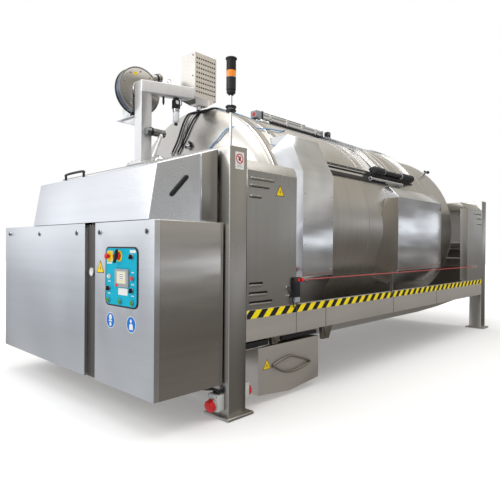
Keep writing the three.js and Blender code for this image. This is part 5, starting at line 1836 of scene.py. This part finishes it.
@build
def bay_fittings():
    """Air manifold, valves, pipes and hoses on the bay's back wall."""
    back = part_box("drive_bay")[1].x - 0.006
    piece = Piece("bay_fittings", "bright_stainless").of(STEEL_BRIGHT)
    piece.box((back - 0.04, 0.48, 0.86), (back, 1.02, 0.905), 0.003)
    valves, pitch = 8, 0.062

    def pipe(route, steps, radius, sides):
        piece.tube(smooth_path([(back - out, y, z) for out, y, z in route], steps), radius, sides)

    pipe([(0.03, 0.5, 0.48), (0.03, 0.78, 0.48), (0.034, 0.86, 0.5), (0.036, 0.88, 0.58),
        (0.036, 0.88, 0.86)], 6, 0.018, 16)
    pipe([(0.034, 0.5, 0.3), (0.034, 0.94, 0.3), (0.034, 0.99, 0.33), (0.034, 0.996, 0.4),
        (0.034, 0.996, 0.86)], 6, 0.014, 16)
    for material, start, deep, thin, wide, low, high in ((BLACK, 0.5, 0.036, 0.002, 0.03, 0.906, 0.99),
            (GREY_PLASTIC, 0.502, 0.034, 0.006, 0.026, 0.99, 1.02)):
        piece.of(material)
        for i in range(valves):
            y = start + pitch * i
            piece.box((back - deep, y, low), (back - thin, y + wide, high), 0.003)
    piece.of(BLUE_HOSE)
    for i in range(valves):
        y = 0.515 + pitch * i
        pipe([(0.036, y, 0.88), (0.08, y, 0.862), (0.085, y - 0.01, 0.78), (0.052, 0.42 + 0.01 * i, 0.74),
            (0.03, 0.3 + 0.01 * i, 0.735 + 0.012 * i), (0.02, 0.29, 0.74 + 0.012 * i)], 5, 0.004, 8)
    piece.of(MACHINED)
    for y in (0.47, 1.012):
        for z in (0.872, 0.894):
            piece.bolt((back - 0.04, min(max(y, 0.488), 1.01), z), -ALONG, 0.004)
    piece.done()


@build
def switchgear():
    """Rails, ducts and modules on the control cabinet's back plate."""
    low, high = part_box("control_cabinet")
    back = high.x - 0.006
    y0, y1 = low.y + 0.06, high.y - 0.06
    piece = Piece("switchgear", "black_plastic").of(STEEL_BRIGHT)
    piece.box((back - 0.006, y0, 0.29), (back, y1, 1.2), 0.001)
    piece.of(GREY_PLASTIC)
    for z in (0.3, 0.52, 0.74, 0.96, 1.16):
        piece.box((back - 0.06, y0 + 0.01, z), (back - 0.006, y1 - 0.01, z + 0.03), 0.002)
        for i in range(26):
            y = y0 + 0.02 + (y1 - y0 - 0.04) * i / 25
            piece.box((back - 0.061, y - 0.004, z + 0.004), (back - 0.0595, y + 0.004, z + 0.026), 0.0)
    colours = (BLACK, GREY_PLASTIC, PALE, BLUE_FILM, GREY_PLASTIC, BLACK, PALE)
    for row, z in enumerate((0.37, 0.59, 0.81, 1.03)):
        piece.of(MACHINED).box((back - 0.014, y0 + 0.01, z + 0.03), (back - 0.006, y1 - 0.01, z + 0.065),
            0.001)
        y, k = y0 + 0.018, row * 2
        while y < y1 - 0.06:
            width = (0.045, 0.018, 0.036, 0.07, 0.022)[k % 5]
            piece.of(colours[k % 7])
            deep = (0.075, 0.06, 0.09, 0.1)[k % 4]
            piece.box((back - 0.014 - deep, y, z), (back - 0.014, y + width - 0.002, z + 0.095), 0.002)
            # Dark dots on each module: painted shade in the terminal openings.
            piece.of(SHADE_AND_SEAM_BLACK)
            for dz in (0.01, 0.08):
                piece.rod((back - 0.014 - deep - 0.0008, y + width / 2, z + dz),
                    (back - 0.013 - deep, y + width / 2, z + dz), 0.0035, 8)
            y += width
            k += 1
    piece.done()


# ---- inside the drum -----------------------------------------------------------------------
@build
def membrane():
    """The press membrane: coated cloth lying slack against the lower half of the drum."""
    low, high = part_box("membrane")
    x0, x1 = low.x - NEAR_X, high.x - NEAR_X
    across, along = 88, 72
    angles = [182 + 176 * j / across for j in range(across + 1)]
    piece = Piece("membrane_cloth", "membrane_fabric", "drum").of(FABRIC)

    def inward(x, angle):
        share = (x - x0) / (x1 - x0)
        hold = min(1.0, 8 * min(share, 1 - share)) * min(1.0, (angle - 182) / 12, (358 - angle) / 12)
        folds = 0.5 + 0.5 * sin(radians(angle) * 13 + 1.4 * sin(share * 5.0))
        swell = 0.5 + 0.5 * sin(share * 17 + 2.0 * sin(radians(angle) * 3))
        return 0.016 * max(hold, 0) * (0.65 * folds ** 2 + 0.35 * swell)

    grids = []
    for thick in (0.0, 0.004):
        grid = []
        for i in range(along + 1):
            x = x0 + (x1 - x0) * i / along
            grid.append(piece.points(on_drum(x, angle, 0.9995 - thick - inward(x, angle)) for angle in angles))
        grids.append(grid)
    outer, inner = grids
    for i in range(along):
        for j in range(across):
            piece.face((outer[i][j], outer[i + 1][j], outer[i + 1][j + 1], outer[i][j + 1]))
            piece.face((inner[i][j], inner[i][j + 1], inner[i + 1][j + 1], inner[i + 1][j]))
    for i in range(along):
        for j in (0, across):
            piece.face((outer[i][j], inner[i][j], inner[i + 1][j], outer[i + 1][j]))
    for j in range(across):
        for i in (0, along):
            piece.face((outer[i][j], outer[i][j + 1], inner[i][j + 1], inner[i][j]))
    cloth = piece.done("membrane")
    clamps = Piece("membrane_clamps", "stainless", "drum").of(STEEL_BRIGHT)
    for start in (180.2, 358.2):
        clamps.arc((0.99, 1.0095), (start, start + 1.6), (x0, x1), 2)
    clamps.of(MACHINED)
    for i in range(18):
        x = x0 + 0.06 + (x1 - x0 - 0.12) * i / 17
        for angle in (181.0, 359.0):
            clamps.bolt(on_drum(x, angle, 0.99), -outward(angle), 0.006)
    clamps.of(STEEL_LEVEL)
    for angle in (8, 20, 32, 44, 136, 148, 160, 172):
        clamps.rod(on_drum(0.8, angle, 0.988), on_drum(4.1, angle, 0.988), 0.0205, 16, 0.004)
    # Dark dashes along the drainage channels: painted shade in their slots.
    clamps.of(SHADE_AND_SEAM_BLACK)
    for angle in (20, 32, 44, 136, 148, 160):
        for i in range(44):
            x = 0.86 + 0.0745 * i
            centre = on_drum(x, angle, 0.968)
            clamps.rod(centre, centre + ALONG * 0.04, 0.0022, 6)
    clamps.done()


@build
def stage():
    """A pale floor that brightens to white away from the press, so that no horizon shows."""
    n = Nodes("floor_paint").put(Roughness=0.7, Base_Color=(0.86, 0.86, 0.86, 1),
        Emission_Color=(1, 1, 1, 1))
    ring = n.node("ShaderNodeTexGradient", gradient_type="SPHERICAL")
    n.link(n.place((0.13, 0.17, 0.13)), ring.inputs["Vector"])
    glow = n.ranged(ring.outputs["Fac"], 0.0, 0.62, 0.75, 0.16, interpolation_type="SMOOTHSTEP")
    n.link(glow, n.shader.inputs["Emission Strength"])
    piece = Piece("floor").of(n.material).box((-30, -30, -0.05), (30, 30, 0.0), 0)
    floor = link_mesh("floor", piece.bm, piece.materials)
    floor.visible_glossy = False


@build
def world():
    """Bright to the left, banded greys to the right, and plain white behind the press."""
    n = Nodes("studio", world=True)
    coords = n.node("ShaderNodeTexCoord").outputs["Generated"]
    split = n.node("ShaderNodeSeparateXYZ")
    n.link(coords, split.inputs["Vector"])

    def ramp(stops):
        """Colours by the height of the direction, from -1 straight down to 1 straight up."""
        made = n.node("ShaderNodeValToRGB")
        n.link(n.ranged(split.outputs["Z"], -1.0, 1.0, 0.0, 1.0), made.inputs["Fac"])
        band = made.color_ramp
        while len(band.elements) < len(stops):
            band.elements.new(0.5)
        for element, (height, colour) in zip(band.elements, stops):
            element.position = (height + 1) / 2
            element.color = (*colour, 1)
        return made.outputs["Color"]

    left = ramp([(-1.0, (0.52, 0.52, 0.53)), (-0.22, (0.5, 0.51, 0.53)), (-0.06, (0.6, 0.62, 0.66)),
        (0.05, (0.78, 0.8, 0.84)), (0.18, (1.02, 1.04, 1.08)), (0.55, (0.92, 0.93, 0.94)),
        (1.0, (0.96, 0.96, 0.95))])
    right = ramp([(-1.0, (0.26, 0.245, 0.22)), (-0.24, (0.17, 0.155, 0.14)), (-0.11, (0.12, 0.11, 0.1)),
        (-0.05, (0.34, 0.33, 0.31)), (-0.015, (0.13, 0.12, 0.11)), (0.015, (0.3, 0.3, 0.3)),
        (0.035, (0.95, 0.98, 1.02)), (0.08, (0.84, 0.86, 0.89)), (0.105, (0.22, 0.215, 0.21)),
        (0.17, (0.26, 0.25, 0.24)), (0.27, (0.62, 0.6, 0.56)), (0.45, (0.54, 0.51, 0.45)),
        (0.7, (0.6, 0.57, 0.51)), (1.0, (0.9, 0.89, 0.86))])
    lean = n.node("ShaderNodeVectorMath", operation="DOT_PRODUCT")
    lean.inputs[1].default_value = (0.75, -0.66, 0)
    n.link(coords, lean.inputs[0])
    side = n.ranged(lean.outputs["Value"], -0.35, 0.55, 0.0, 1.0, interpolation_type="SMOOTHSTEP")
    mix = n.node("ShaderNodeMix", data_type="RGBA")
    n.link(side, mix.inputs["Factor"])
    n.link(left, mix.inputs[6])
    n.link(right, mix.inputs[7])
    clouds = n.node("ShaderNodeTexNoise")
    clouds.inputs["Scale"].default_value = 3.2
    clouds.inputs["Detail"].default_value = 1.5
    n.link(coords, clouds.inputs["Vector"])
    n.link(n.ranged(clouds.outputs["Fac"], 0.35, 0.65, 0.8, 1.16), n.shader.inputs["Strength"])
    n.link(mix.outputs[2], n.shader.inputs["Color"])
    seen = n.node("ShaderNodeBackground")
    seen.inputs["Color"].default_value = (1, 1, 1, 1)
    path = n.node("ShaderNodeLightPath")
    choose = n.node("ShaderNodeMixShader")
    n.link(path.outputs["Is Camera Ray"], choose.inputs["Fac"])
    n.link(n.shader.outputs["Background"], choose.inputs[1])
    n.link(seen.outputs["Background"], choose.inputs[2])
    n.link(choose.outputs["Shader"], n.tree.nodes["World Output"].inputs["Surface"])
    bpy.context.scene.world = n.material


def softbox(name, place, aim, size, power):
    data = bpy.data.lights.new(name, "AREA")
    data.shape = "RECTANGLE"
    data.size, data.size_y = size
    data.energy = power
    made = bpy.data.objects.new(name, data)
    made.location = place
    made.rotation_euler = (Vector(aim) - Vector(place)).to_track_quat("-Z", "Y").to_euler()
    bpy.context.scene.collection.objects.link(made)
    return made


softbox("top_light", (-0.5, -1.0, 7.0), (0, 0, 0), (9, 7), 260)
softbox("front_light", (-7.0, 0.5, 4.5), (-1.5, 0, 1.0), (4, 3), 110)

bpy.context.scene.view_settings.view_transform = "Standard"
